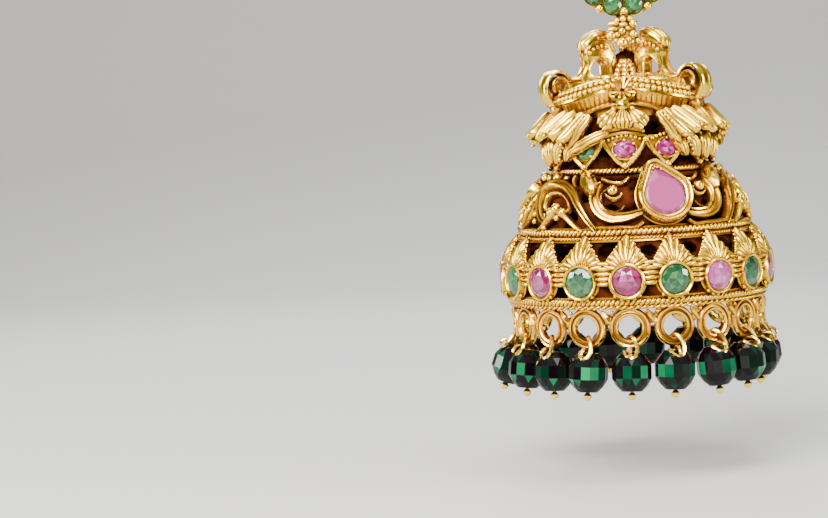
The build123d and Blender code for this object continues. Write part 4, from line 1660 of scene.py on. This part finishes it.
@dataclass
class Bell:
    """Bell: the openwork dome with its pear settings, the band of round settings and the hoops."""

    dome: Wall = Wall((8.3, 15.7), (10.6, 17.9), (11.5, 21.2))
    band: Wall = Wall((11.6, 21.7), (13.4, 25.0), (13.1, 28.4))
    pears: int = 2
    pear_azimuth: float = 16.0
    pear_place: Quad = (10.6, 17.4, 22.0, 14.0)
    pear_belly: Pair = (2.3, -0.55)
    pear_tip: Pair = (0.55, 2.25)
    pear_front: float = 0.85
    count: int = 18
    stone_r: float = 1.42
    stone_drop: float = 25.9
    stone_face_r: float = 13.95
    palmette_drop: float = 24.95
    stack_r: float = 13.2
    hoop_r: float = 12.5
    hoop_drop: float = 30.55
    hoop_outer: float = 2.05
    hoop_hole: float = 1.15

    def ribbon(
        self,
        clay: Clay,
        knots: Sequence,
        width: float | tuple,
        rise: float,
        flip: Pair = (1, 1),
        section: Sequence[Pair] = HALF_ROUND,
        lift: float = 0.0,
        per: int = 6,
    ) -> None:
        """Adds a ribbon on the dome.

        Args:
            clay: Where it is added.
            knots: Its (along, drop) points.
            width: Its width, or shares of its length and its widths there.
            rise: Its height over the wall.
            flip: Factors of the points, which choose the side.
            section: Its section.
            lift: Distance of its foot out of the wall.
            per: Steps between two of the points.
        """
        line = smooth(knots, per) * flip
        path, above = (self.dome.on(line[:, 0], line[:, 1], lift + more) for more in (0, 1))
        widths = width if isinstance(width, float) else taper(line, *width)
        clay.sweep(path, above - path, section, widths, rise)

    def scrolls(self) -> Clay:
        """Scrolls of the dome on both sides of one pear, at azimuth 0.

        Returns:
            The clay.
        """
        clay = Clay()
        for side, near in ((-1, 4.95), (1, 4.3)):
            flip = (side, 1)
            angle = np.radians(np.linspace(66, -95, 28))
            ring = np.column_stack([near + 1.8 * np.cos(angle), 18.15 - 1.62 * np.sin(angle)])
            tail = smooth([ring[-1], (near - 0.9, 19.75), (near - 1.7, 19.6), (2.3, 19.35)], 4)
            widths = ((0, 0.1, 0.4, 0.8, 1), (0.5, 1, 1.3, 1, 0.6))
            self.ribbon(clay, np.vstack([ring, tail[1:]]), widths, 0.55, flip, GROOVED, per=1)
            angle *= 1.6
            inner = np.column_stack([near + 1.18 * np.cos(angle), 18.15 - 1.05 * np.sin(angle)])
            self.ribbon(clay, inner[1:], 0.22, 0.35, flip, per=1)
            if side > 0:
                stem = [(2.2, 17.6), (2.6, 17.5), (3, 17.4), (3.4, 17.35)]
                self.ribbon(clay, stem, ((0, 1), (0.8, 0.4)), 0.5, flip)
            clay.ball(self.dome.on(side * (near - 0.2), 17.3, 0.3), 0.55, 8, 14)
            angle = np.radians(np.linspace(200, 340, 12))
            collar = np.column_stack([near - 0.2 + 0.82 * np.cos(angle), 17.35 - 0.62 * np.sin(angle)])
            self.ribbon(clay, collar, 0.3, 0.4, flip, per=1)
            bud = [(near + 2.15, 15.75), (near + 2.1, 16.3), (near + 2, 17), (near + 1.85, 17.7)]
            self.ribbon(clay, bud, ((0, 0.35, 0.75, 1), (0.7, 1.75, 1.4, 0.4)), 0.8, flip, lift=0.2)
            small = [(near - 2.2, 15.95), (near - 1.5, 16.3), (near - 0.6, 16.4), (near + 0.5, 15.95)]
            self.ribbon(clay, small, 0.34, 0.3, flip, lift=-0.15, per=5)
            foot = [(2.3, 20.3), (3.1, 20.75), (4.4, 20.7), (5.8, 20.72), (7.2, 20.7), (8.6, 20.95)]
            self.ribbon(clay, foot, 0.42, 0.45, flip)
            self.arch(clay, flip)
        self.filler(clay)
        return clay

    def arch(self, clay: Clay, flip: Pair) -> None:
        """Adds the arch that stands between two loops, on one side, with the bud inside it.

        Args:
            clay: Where it is added.
            flip: Factors of (along, drop) points, which choose the side.
        """
        middle = np.array((11.35, 0))
        inward = [(0, 16.5), (-1.3, 16.65), (-2.3, 17.4), (-2.75, 18.5), (-3.5, 19.8), (-4.4, 20.9)]
        outward = [(0, 16.5), (1.3, 16.7), (2.3, 17.45), (2.6, 18.6), (2.2, 19.7), (1.45, 19.9), (1.2, 19.3)]
        for knots in (inward, outward):
            widths = ((0, 0.4, 0.7, 1), (1, 0.95, 0.65, 0.45))
            self.ribbon(clay, middle + knots, widths, 0.6, flip, GROOVED)
        for lobe in ((-1, 1), (1, 1)):
            inner = np.array([(0, 17.3), (-0.9, 17.45), (-1.5, 18.05), (-1.65, 18.75), (-1.2, 19.1)])
            self.ribbon(clay, middle + inner * lobe, 0.3, 0.4, flip)
            leaf = np.array([(-0.3, 19.1), (-1.1, 19.65), (-2.1, 20.5), (-3, 21)])
            self.ribbon(clay, middle + leaf * lobe, ((0, 1), (0.75, 0.35)), 0.6, flip)
        self.ribbon(clay, middle + [(-3, 15.85), (-2.6, 16.3), (-2.75, 16.9)], 0.4, 0.45, flip)
        balls = [(0, 18.8, 0.56), (-0.8, 19.15, 0.48), (0.8, 19.15, 0.48), (0, 19.65, 0.34)]
        balls += [(-0.2, 15.95, 0.55), (-1.7, 16, 0.32), (1.6, 16, 0.36), (1.9, 20.6, 0.3)]
        balls += [(3.4, 19.3, 0.34), (3.5, 20, 0.3)]
        for along, drop, size in balls:
            clay.ball(self.dome.on((middle[0] + along) * flip[0], drop, 0.22), size, 8, 12)

    def filler(self, clay: Clay) -> None:
        """Adds the upright bud half way between two pears.

        Args:
            clay: Where it is added.
        """
        middle = np.array((math.pi / 2 * 10.9, 0))
        stem = middle + [(0, 16.6), (0, 17.6), (0, 19), (0, 20.6)]
        self.ribbon(clay, stem, ((0, 0.3, 0.65, 1), (0.4, 1.1, 0.8, 0.5)), 0.4, lift=-0.1)
        for side in SIDES:
            curl = np.array([(0.2, 20.7), (1.3, 20.3), (2, 19.3), (1.7, 18.3), (1, 18.3)]) * (side, 1)
            self.ribbon(clay, middle + curl, 0.5, 0.4, section=GROOVED, lift=-0.1)
            for along, drop, size in ((1.1, 18.9, 0.34), (0.9, 17.1, 0.36)):
                clay.ball(self.dome.on(middle[0] + side * along, drop, 0.1), size, 8, 12)
        clay.ball(self.dome.on(middle[0], 16.5, 0.1), 0.36, 8, 12)

    def rings(self) -> Clay:
        """Turned rings that hold the openwork: the edges of the band.

        Returns:
            The clay.
        """
        clay = Clay()
        upper = [(10.75, 20.75), (11.3, 20.7), (11.5, 21.2), (11.75, 21.8), (12, 22.1), (11.55, 22.15)]
        clay.turn(upper + [(11.0, 21.7)], 144)
        clay.turn([(12.5, 27.55), (13.05, 27.5), (13, 28.4), (12.3, 28.5), (12.2, 28.2)], 144)
        return clay

    def shade_lining(self) -> Clay:
        """Thin dark walls behind the openwork, painted shade for its inside, pierced behind its openings.

        Returns:
            The clay.
        """
        clay = Clay()
        clay.pierced(self.dome, self.dome_holes(), -0.55, 0.25)
        clay.pierced(self.band, self.band_holes(), -0.35, 0.25)
        lip = [(7.5, 15.72), (8.25, 15.72), (8.5, 15.9), (8.4, 16.1), (8, 16.1), (7.5, 16)]
        clay.turn(lip, 144)
        return clay

    def dome_holes(self) -> list[Quad]:
        """Holes of the dome's lining as (azimuth, drop, half width, half height).

        Returns:
            The holes.
        """
        openings = ((28, 19.1, 0.95), (44, 17.3, 0.7), (51, 19.6, 0.8), (69, 19.6, 0.8), (76, 17.3, 0.7))
        return [
            (self.pear_azimuth + i * 360 / self.pears + side * turn, drop, radius, radius)
            for i in range(self.pears)
            for side in SIDES
            for turn, drop, radius in openings
        ]

    def band_holes(self) -> list[Quad]:
        """Holes of the band's lining as (azimuth, drop, half width, half height)."""
        return [(azimuth_of(i + 0.5, self.count), 22.8, 0.85, 0.62) for i in range(self.count)]

    def pear_frame(self, index: int) -> Matrix:
        """Frame of one pear stone, level with the face of its lip.

        Args:
            index: Which of the pears it is.

        Returns:
            The frame.
        """
        radius, drop, lean, roll = self.pear_place
        base = facing(self.pear_azimuth + index * 360 / self.pears, radius, drop, lean, roll)
        return base @ Matrix.Translation((0, 0, self.pear_front))

    def pear_outline(self, belly: float, tip: float) -> Array:
        """Outline of a pear stone, with its belly and its tip enlarged."""
        (belly_r, belly_y), (tip_r, tip_y) = self.pear_belly, self.pear_tip
        return teardrop(belly_r + belly, belly_y, tip_r + tip, tip_y, 64)

    def pear_collets(self) -> Clay:
        """Settings of the pear stones: tall wall, bright lip, inner ledge and grains at the point.

        Returns:
            The clay.
        """
        clay = Clay()
        grains = ((0, 2.42, 0.14), (-0.26, 2.3, 0.13), (0.26, 2.3, 0.13), (-0.5, 2, 0.1), (0.52, 1.98, 0.1))
        for i in range(self.pears):
            place = self.pear_frame(i)
            clay.collet(self.pear_outline(0.27, 0.27), place, 0.44, 1.7)
            clay.collet(self.pear_outline(-0.06, -0.04), place @ Matrix.Translation((0, 0, -0.2)), 0.34, 0.7)
            for x, y, size in grains:
                clay.ball(place @ Vector((x, y, -0.2)), size)
            clay.flat_wire(self.pear_outline(0.45, 0.42), -1.35, 0.16, place)
        return clay

    def pear_gem(self, index: int) -> Clay:
        """One pear stone with a flat table and a bevelled edge.

        Args:
            index: Which of the pears it is.

        Returns:
            The clay.
        """
        clay = Clay()
        (belly_r, belly_y), (tip_r, tip_y) = self.pear_belly, self.pear_tip
        layers = []
        for shrink, height in ((0.1, -0.9), (0.1, -0.45), (0.5, -0.22), (0.55, -0.21)):
            point_y = tip_y - shrink * (0.8 if height < -0.3 else 1.8)
            outline = teardrop(belly_r - shrink, belly_y, max(tip_r - shrink, 0.12), point_y, 40)
            layers.append(at_height(outline, height))
        n = len(layers[0])
        faces = quads(4, n, False, True).tolist() + [list(range(n))[::-1], list(range(3 * n, 4 * n))]
        clay.put(np.concatenate(layers), faces, self.pear_frame(index))
        return clay

    def palmette(self) -> Clay:
        """One palmette of ribs over a round setting, at azimuth 0.

        Returns:
            The clay.
        """
        clay = Clay()
        base = self.palmette_drop
        degrees = np.linspace(-86, 86, 91)
        turns = np.radians(degrees)
        reaches = [3.2, 2.95, 2.65, 2.35, 2.1, 2.12, 2.15]
        ribs = np.abs(np.cos(turns / math.radians(172) * 11 * math.pi)) ** 0.6
        reach = np.interp(np.abs(degrees), [0, 7, 14, 24, 42, 65, 86], reaches) * (0.95 + 0.05 * ribs)
        edge = np.column_stack([reach * np.sin(turns), base - reach * np.cos(turns)])
        share = np.linspace(0.1, 1, 11)
        along = edge[:, :1] * share
        drop = base + (edge[:, 1:] - base) * share
        lift = 0.12 + 0.4 * np.sin(share * 2.5) + 0.34 * (ribs[:, None] - 0.5) * share
        clay.slab(self.band.on(along, drop, lift), self.band.on(along, drop, -0.3 + 0 * along))
        for along, drop in edge[2:-2:4]:
            clay.ball(self.band.on(along, drop, 0.2), 0.2, 5, 8)
        clay.ball(self.band.on(0, base - 3.0, 0.25), 0.22)
        return clay

    def stack(self) -> Clay:
        """Short level ribs that fill the space beside a setting, and the grains below them.

        Returns:
            The clay.
        """
        clay = Clay()
        middle = math.radians(180 / self.count) * self.stack_r
        across = np.linspace(-1, 1, 7)
        rows = np.linspace(24.0, 26.35, 31)
        half = np.interp(rows, [24.0, 24.6, 26.35], [0.95, 0.85, 0.5])[:, None] * across
        ridge = 0.24 * np.abs(np.sin((rows - 24.0) / 0.47 * math.pi))[:, None] ** 0.7
        face = self.band.on(middle + half, rows[:, None], 0.12 + ridge + 0.12 * (1 - across**2))
        clay.slab(face, self.band.on(middle + half, rows[:, None], -0.3 + 0 * half))
        for side in SIDES:
            clay.ball(self.band.on(middle + side * 1.15, 27.3, 0.2), 0.2)
        return clay

    def setting(self) -> Clay:
        """One round setting of the band, at azimuth 0.

        Returns:
            The clay.
        """
        clay = Clay()
        place = facing(0, self.stone_face_r + 0.02, self.stone_drop)
        wall, foot = self.stone_r + 0.19, self.stone_r + 0.38
        clay.collet(oval(wall, wall, 40), place, 0.38, 1.15)
        clay.flat_wire(oval(foot, foot, 40), -0.75, 0.15, place)
        for x, y, z in ((-0.62, -1.75, -0.55), (0.62, -1.75, -0.55), (0, -1.85, -0.6)):
            clay.ball(place @ Vector((x, y, z)), 0.22)
        return clay

    def hoop(self) -> Clay:
        """One hoop with its lips and groove, at azimuth 0, and the spacer beside it.

        Returns:
            The clay.
        """
        clay = Clay()
        o, h = self.hoop_outer, self.hoop_hole
        rows = [(h, -0.3), (h, 0.2), (h + 0.1, 0.34), (h + 0.26, 0.36), (h + 0.36, 0.12), (h + 0.46, 0.1)]
        rows += [(h + 0.56, 0.3), (h + 0.72, 0.34), (o - 0.05, 0.2), (o, 0), (o - 0.1, -0.22)]
        rows.append((h + 0.5, -0.34))
        clay.lathe(rows, facing(0, self.hoop_r, self.hoop_drop), 40, True)
        middle = math.radians(180 / self.count) * self.hoop_r
        band = Wall((12.5, 28.6), (12.72, 29.8), (12.5, 31))
        line = smooth([(middle - 0.42, 29), (middle - 0.05, 29.45), (middle + 0.38, 30)], 5)
        clay.tube(band.on(line[:, 0], line[:, 1], 0.15), taper(line, [0, 0.5, 1], [0.2, 0.34, 0.2]))
        clay.ball(band.on(middle + 0.55, 29.05, 0.1), 0.22)
        return clay

    def build(self, shop: Workshop) -> None:
        """Makes the bell's pieces.

        Args:
            shop: Where they are made.
        """
        shop.plain(self.rings(), Card("bell_rings", DEEP_GOLD, stands_for=("bell",)))
        shop.plain(self.shade_lining(), Card("bell_lining", SHADE_LINING))
        shop.around(self.scrolls(), Card("dome_scrolls"), self.pears, self.pear_azimuth)
        shop.plain(self.pear_collets(), Card("pear_collets"))
        for i in range(self.pears):
            card = Card(f"pear_gem_{i + 1}", PEAR, Slot.PINK, (f"pear_stone_{i + 1}",))
            shop.gem(self.pear_gem(i), card, self.pear_frame(i).col[2].xyz, (0.6, 0.6), (0, 0.5), SEED + i)
        shop.around(self.palmette(), Card("band_palmettes"), self.count, PHASE)
        shop.around(self.stack(), Card("band_rib_stacks"), self.count, PHASE)
        shop.around(self.setting(), Card("band_collets"), self.count, PHASE)
        shop.rope(Card("mid_rope"), 11.55, 0.8, 21.2, 72)
        shop.rope(Card("mid_wire", DEEP_GOLD), 11.75, 0.42, 21.8, 96)
        shop.rope(Card("low_rope"), 13.0, 0.76, 28.0, 84)
        shop.rope(Card("low_wire", COPPER_GOLD), 12.95, 0.5, 28.5, 60)
        shop.around(self.hoop(), Card("hoop_row", COPPER_GOLD), self.count, PHASE)
        for i in range(self.count):
            green = i % 2 == 1
            finish = GREEN if green else (RUBY, ROSE, RUBY)[i // 2 % 3]
            slot = Slot.GREEN if green else Slot.PINK
            card = Card(f"band_gem_{i + 1:02d}", finish, slot, (f"band_stone_{i + 1:02d}",))
            turn = azimuth_of(i, self.count)
            place = facing(turn, self.stone_face_r - 0.1, self.stone_drop) @ Matrix.Rotation(0.6 * i, 4, "Z")
            gem = brilliants([(self.stone_r, 0.24, 0.6, place)])
            shop.gem(gem, card, spot(turn, 1, -STUD_R), (0.1, 0.72), (0.05, 0.7), SEED + 40 + i)


# --- Fringe ---


@dataclass
class Fringe:
    """Wire hangers and faceted glass beads below the hoops."""

    count: int = 18
    bar_r: float = 12.5
    bar_drop: float = 32.15
    hanger_top: float = 31.2
    hanger_foot: float = 33.3
    twist: float = 30.0
    wire_r: float = 0.22
    flare_index: int = 14
    flare_most: float = 15.0
    bead_r: float = 2.0
    bead_h: float = 3.85
    bead_sides: int = 14
    bead_top: float = 33.0
    bead_set_back: float = 0.15
    pin_ball: float = 0.42
    loop_half: float = 0.78
    loop_turn: float = 52.0
    loop_out: float = 1.45
    dip: float = 0.5

    def place(self, index: int, below_bar: float) -> Matrix:
        """Frame of a hung thing, with its Z up along the pin.

        Args:
            index: Which of the drops it is.
            below_bar: Its distance below the hoop's bar.

        Returns:
            The frame.
        """
        sway = 3.0 * math.sin(1.9 * index + 0.4)
        flare = 3.5 + 2.5 * math.sin(2.7 * index + 1.0)
        flare += self.flare_most * math.exp(-((index - self.flare_index) ** 2))
        place = facing(azimuth_of(index, self.count), self.bar_r, self.bar_drop)
        place @= Matrix.Rotation(math.radians(-90 - flare), 4, "X")
        place @= Matrix.Rotation(math.radians(sway), 4, "Y")
        place @= Matrix.Translation((0, self.bead_set_back, -below_bar))
        return place @ Matrix.Rotation(math.radians(90 + self.twist), 4, "Z")

    def hanger(self) -> Clay:
        """One open hook, from its top, with the bead's pin looped over its foot.

        Returns:
            The clay.
        """
        clay = Clay()
        height = self.hanger_foot - self.hanger_top + self.dip
        outward = Matrix.Rotation(math.radians(-90 - self.twist), 3, "Z") @ Vector((0, -1, 0))
        angle = np.radians(np.linspace(28, 335, 44))
        flat = self.loop_half * np.cos(angle)
        z = (height / 2 - self.wire_r) * (np.sin(angle) - 1) - self.wire_r
        down = -z / height
        turn = np.radians(self.loop_turn * down)
        path = np.column_stack([flat * np.cos(turn), flat * np.sin(turn), z])
        reach = self.bead_set_back + self.loop_out * down**2
        clay.tube(path + np.outer(reach, outward), self.wire_r)
        top = self.hanger_top - self.bead_top
        eye = smooth([(0, -0.25), (0.12, 0.12), (0.6, 0.4), (1.3, 0.35), (1.7, 0.05), (1.75, -0.25)], 5)
        clay.tube(np.outer(eye[:, 0], outward) + np.outer(eye[:, 1] + top, UP), 0.16)
        pin_foot = top - self.bead_h - 0.05 - self.pin_ball
        clay.tube(np.outer(np.linspace(top - 0.1, pin_foot, 3), UP), 0.17)
        head = [(0, 0.4), (0.2, 0.38), (0.42, 0.1), (0.4, -0.12), (0.22, -0.36), (0, -0.42)]
        clay.lathe(head, Matrix.Translation((0, 0, pin_foot)), 14)
        collar = [(0.18, 0.12), (0.4, 0.1), (0.45, 0), (0.18, -0.02)]
        clay.lathe(collar, Matrix.Translation((0, 0, top)), 14, True)
        return clay

    def bead(self) -> Clay:
        """One barrel bead with tall narrow facets at its belt and three-cornered ones above and below.

        Returns:
            The clay.
        """
        clay = Clay()
        sides, h = self.bead_sides, self.bead_h / 2
        upper = [(0.3, 0, h - 0.1), (1, 0, h), (1.55, 0.5, h * 0.72), (self.bead_r, 0, 0.62)]
        rings = upper + [(size, shift, -z) for size, shift, z in upper[::-1]]
        points: list[Triple] = []
        for size, shift, z in rings:
            turns = (np.arange(sides) + shift) * TURN / sides
            points += [(size * math.cos(turn), size * math.sin(turn), z) for turn in turns]
        faces: list[list[int]] = []
        for row, (above, below) in enumerate(zip(rings, rings[1:])):
            a, b = row * sides, (row + 1) * sides
            for i in range(sides):
                j = (i + 1) % sides
                if above[1] == below[1]:
                    faces.append([a + i, b + i, b + j, a + j])
                elif above[1] < below[1]:
                    faces += [[a + i, b + i, a + j], [a + j, b + i, b + j]]
                else:
                    faces += [[a + i, b + i, b + j], [a + i, b + j, a + j]]
        faces.append(list(range(sides))[::-1])
        faces.append(list(range(7 * sides, 8 * sides)))
        clay.put(np.array(points), faces)
        return clay

    def build(self, shop: Workshop) -> None:
        """Makes the hangers and the beads.

        Args:
            shop: Where they are made.
        """
        hooks = [self.place(i, self.hanger_top - self.bar_drop) for i in range(self.count)]
        shop.hung(self.hanger(), hooks, Card("hanger_hooks", PALE_GOLD, stands_for=("bead_hangers",)))
        middle = self.bead_top + self.bead_h / 2
        places = [self.place(i, middle - self.bar_drop) for i in range(self.count)]
        nodes = tuple(f"bead_{i + 1:02d}" for i in range(self.count))
        beads = shop.hung(self.bead(), places, Card("fringe_beads", BEAD, Slot.BEAD, nodes))
        # Painted glints: upright belt facets draw lighter levels than the facets at the ends, which stay
        # darker.
        draw = np.random.default_rng(SEED).random(len(beads.data.polygons))
        level = np.array([abs(face.normal.z) < 0.4 for face in beads.data.polygons])
        set_facet_glints(beads, np.where(level, draw**1.8, 0.6 * draw**3))


# --- Studio ---


@dataclass
class Studio:
    """Pale floor, soft lights and the camera."""

    floor_drop: float = 46.0
    distance: float = 250.0
    eye_drop: float = 7.8
    aim: Triple = (-22.93, 0.0, -28.95)
    roll: float = -3.15
    lens: float = 105.2

    def floor(self) -> None:
        """Makes a pale sheet that curves up far behind the earring."""
        bends = np.linspace(0.1, math.pi / 2, 14)
        rows = [(-900.0, 0.0), (250.0, 0.0)]
        rows += [(250 + 220 * math.sin(a), 220 - 220 * math.cos(a)) for a in bends] + [(470, 900)]
        foot = -STUD_R - self.floor_drop
        points = np.array([(x, y, foot + z) for y, z in rows for x in (-1200.0, 1200.0)]) * MM
        mesh = bpy.data.meshes.new("studio_sheet")
        mesh.from_pydata(points.tolist(), [], quads(len(rows), 2)[:, ::-1].tolist())
        mesh.polygons.foreach_set("use_smooth", [True] * len(mesh.polygons))
        mesh.materials.append(PlainFinish("pale_paper", (0.44, 0.435, 0.43)).material)
        stand("studio_sheet", mesh)

    def lamp(self, name: str, place: Triple, size: Pair, power: float, colour: Triple = (1, 1, 1)) -> None:
        """Makes a soft rectangular lamp that looks at the earring.

        Args:
            name: Name of the lamp.
            place: Its place, in millimetres.
            size: Its width and height, in millimetres.
            power: Its power, in watts.
            colour: Its colour.
        """
        lamp = bpy.data.lights.new(name, "AREA")
        lamp.shape = "RECTANGLE"
        lamp.size, lamp.size_y = size[0] * MM, size[1] * MM
        lamp.energy = power
        lamp.color = colour
        obj = stand(name, lamp)
        obj.location = Vector(place) * MM
        obj.rotation_euler = (Vector((0, 0, -25 * MM)) - obj.location).to_track_quat("-Z", "Y").to_euler()

    def world(self) -> None:
        """Makes the room: dim at the horizon, lighter overhead."""
        world = bpy.data.worlds.new("studio_room")
        world.use_nodes = True
        bpy.context.scene.world = world
        bench = Bench(world.node_tree)
        way = bench.named("ShaderNodeTexCoord", "Generated")
        height = bench.make("ShaderNodeSeparateXYZ", {0: way})[2]
        greys = ((0, 0.1), (0.3, 0.02), (0.55, 0.1), (0.85, 0.7))
        stops = [(level, (grey, grey, grey)) for level, grey in greys]
        sky = bench.ramp(bench.share(height, -0.3, 0.9), stops)
        background = next(n for n in world.node_tree.nodes if n.type == "BACKGROUND")
        bench.fill(background, {"Color": sky, "Strength": 1.1})

    def camera(self) -> None:
        """Sets the camera level with the crown, looking down at the bell."""
        camera = bpy.data.cameras.new("camera")
        camera.lens = self.lens
        camera.clip_start = 0.005
        obj = stand("camera", camera)
        eye = Vector((0.0, -self.distance, -STUD_R - self.eye_drop)) * MM
        aim = Vector(self.aim) * MM
        look = (aim - eye).to_track_quat("-Z", "Y").to_matrix().to_4x4()
        obj.matrix_world = Matrix.Translation(eye) @ look @ Matrix.Rotation(math.radians(self.roll), 4, "Z")
        bpy.context.scene.camera = obj

    def build(self) -> None:
        """Makes the studio."""
        self.floor()
        self.world()
        self.camera()
        self.lamp("key_lamp", (-170, -240, 200), (210, 190), 3, (1, 0.98, 0.94))
        self.lamp("front_lamp", (-50, -340, 120), (130, 90), 2.2)
        self.lamp("top_lamp", (60, -90, 320), (170, 150), 1.1)
        self.lamp("right_lamp", (260, -110, 30), (60, 150), 0.9, (1, 0.98, 0.96))
        self.lamp("back_lamp", (-60, 240, 160), (160, 100), 0.9)
        self.lamp("left_lamp", (-270, -40, 0), (50, 150), 0.8)


def main() -> None:
    """Builds the sub-assemblies in order."""
    logging.basicConfig(level=logging.INFO, format="%(message)s")
    shop = Workshop()
    for assembly in (Stud(), Link(), Crown(), Bell(), Fringe()):
        assembly.build(shop)
        LOG.info("%s built", type(assembly).__name__)
    Studio().build()


if __name__ == "__main__":
    main()
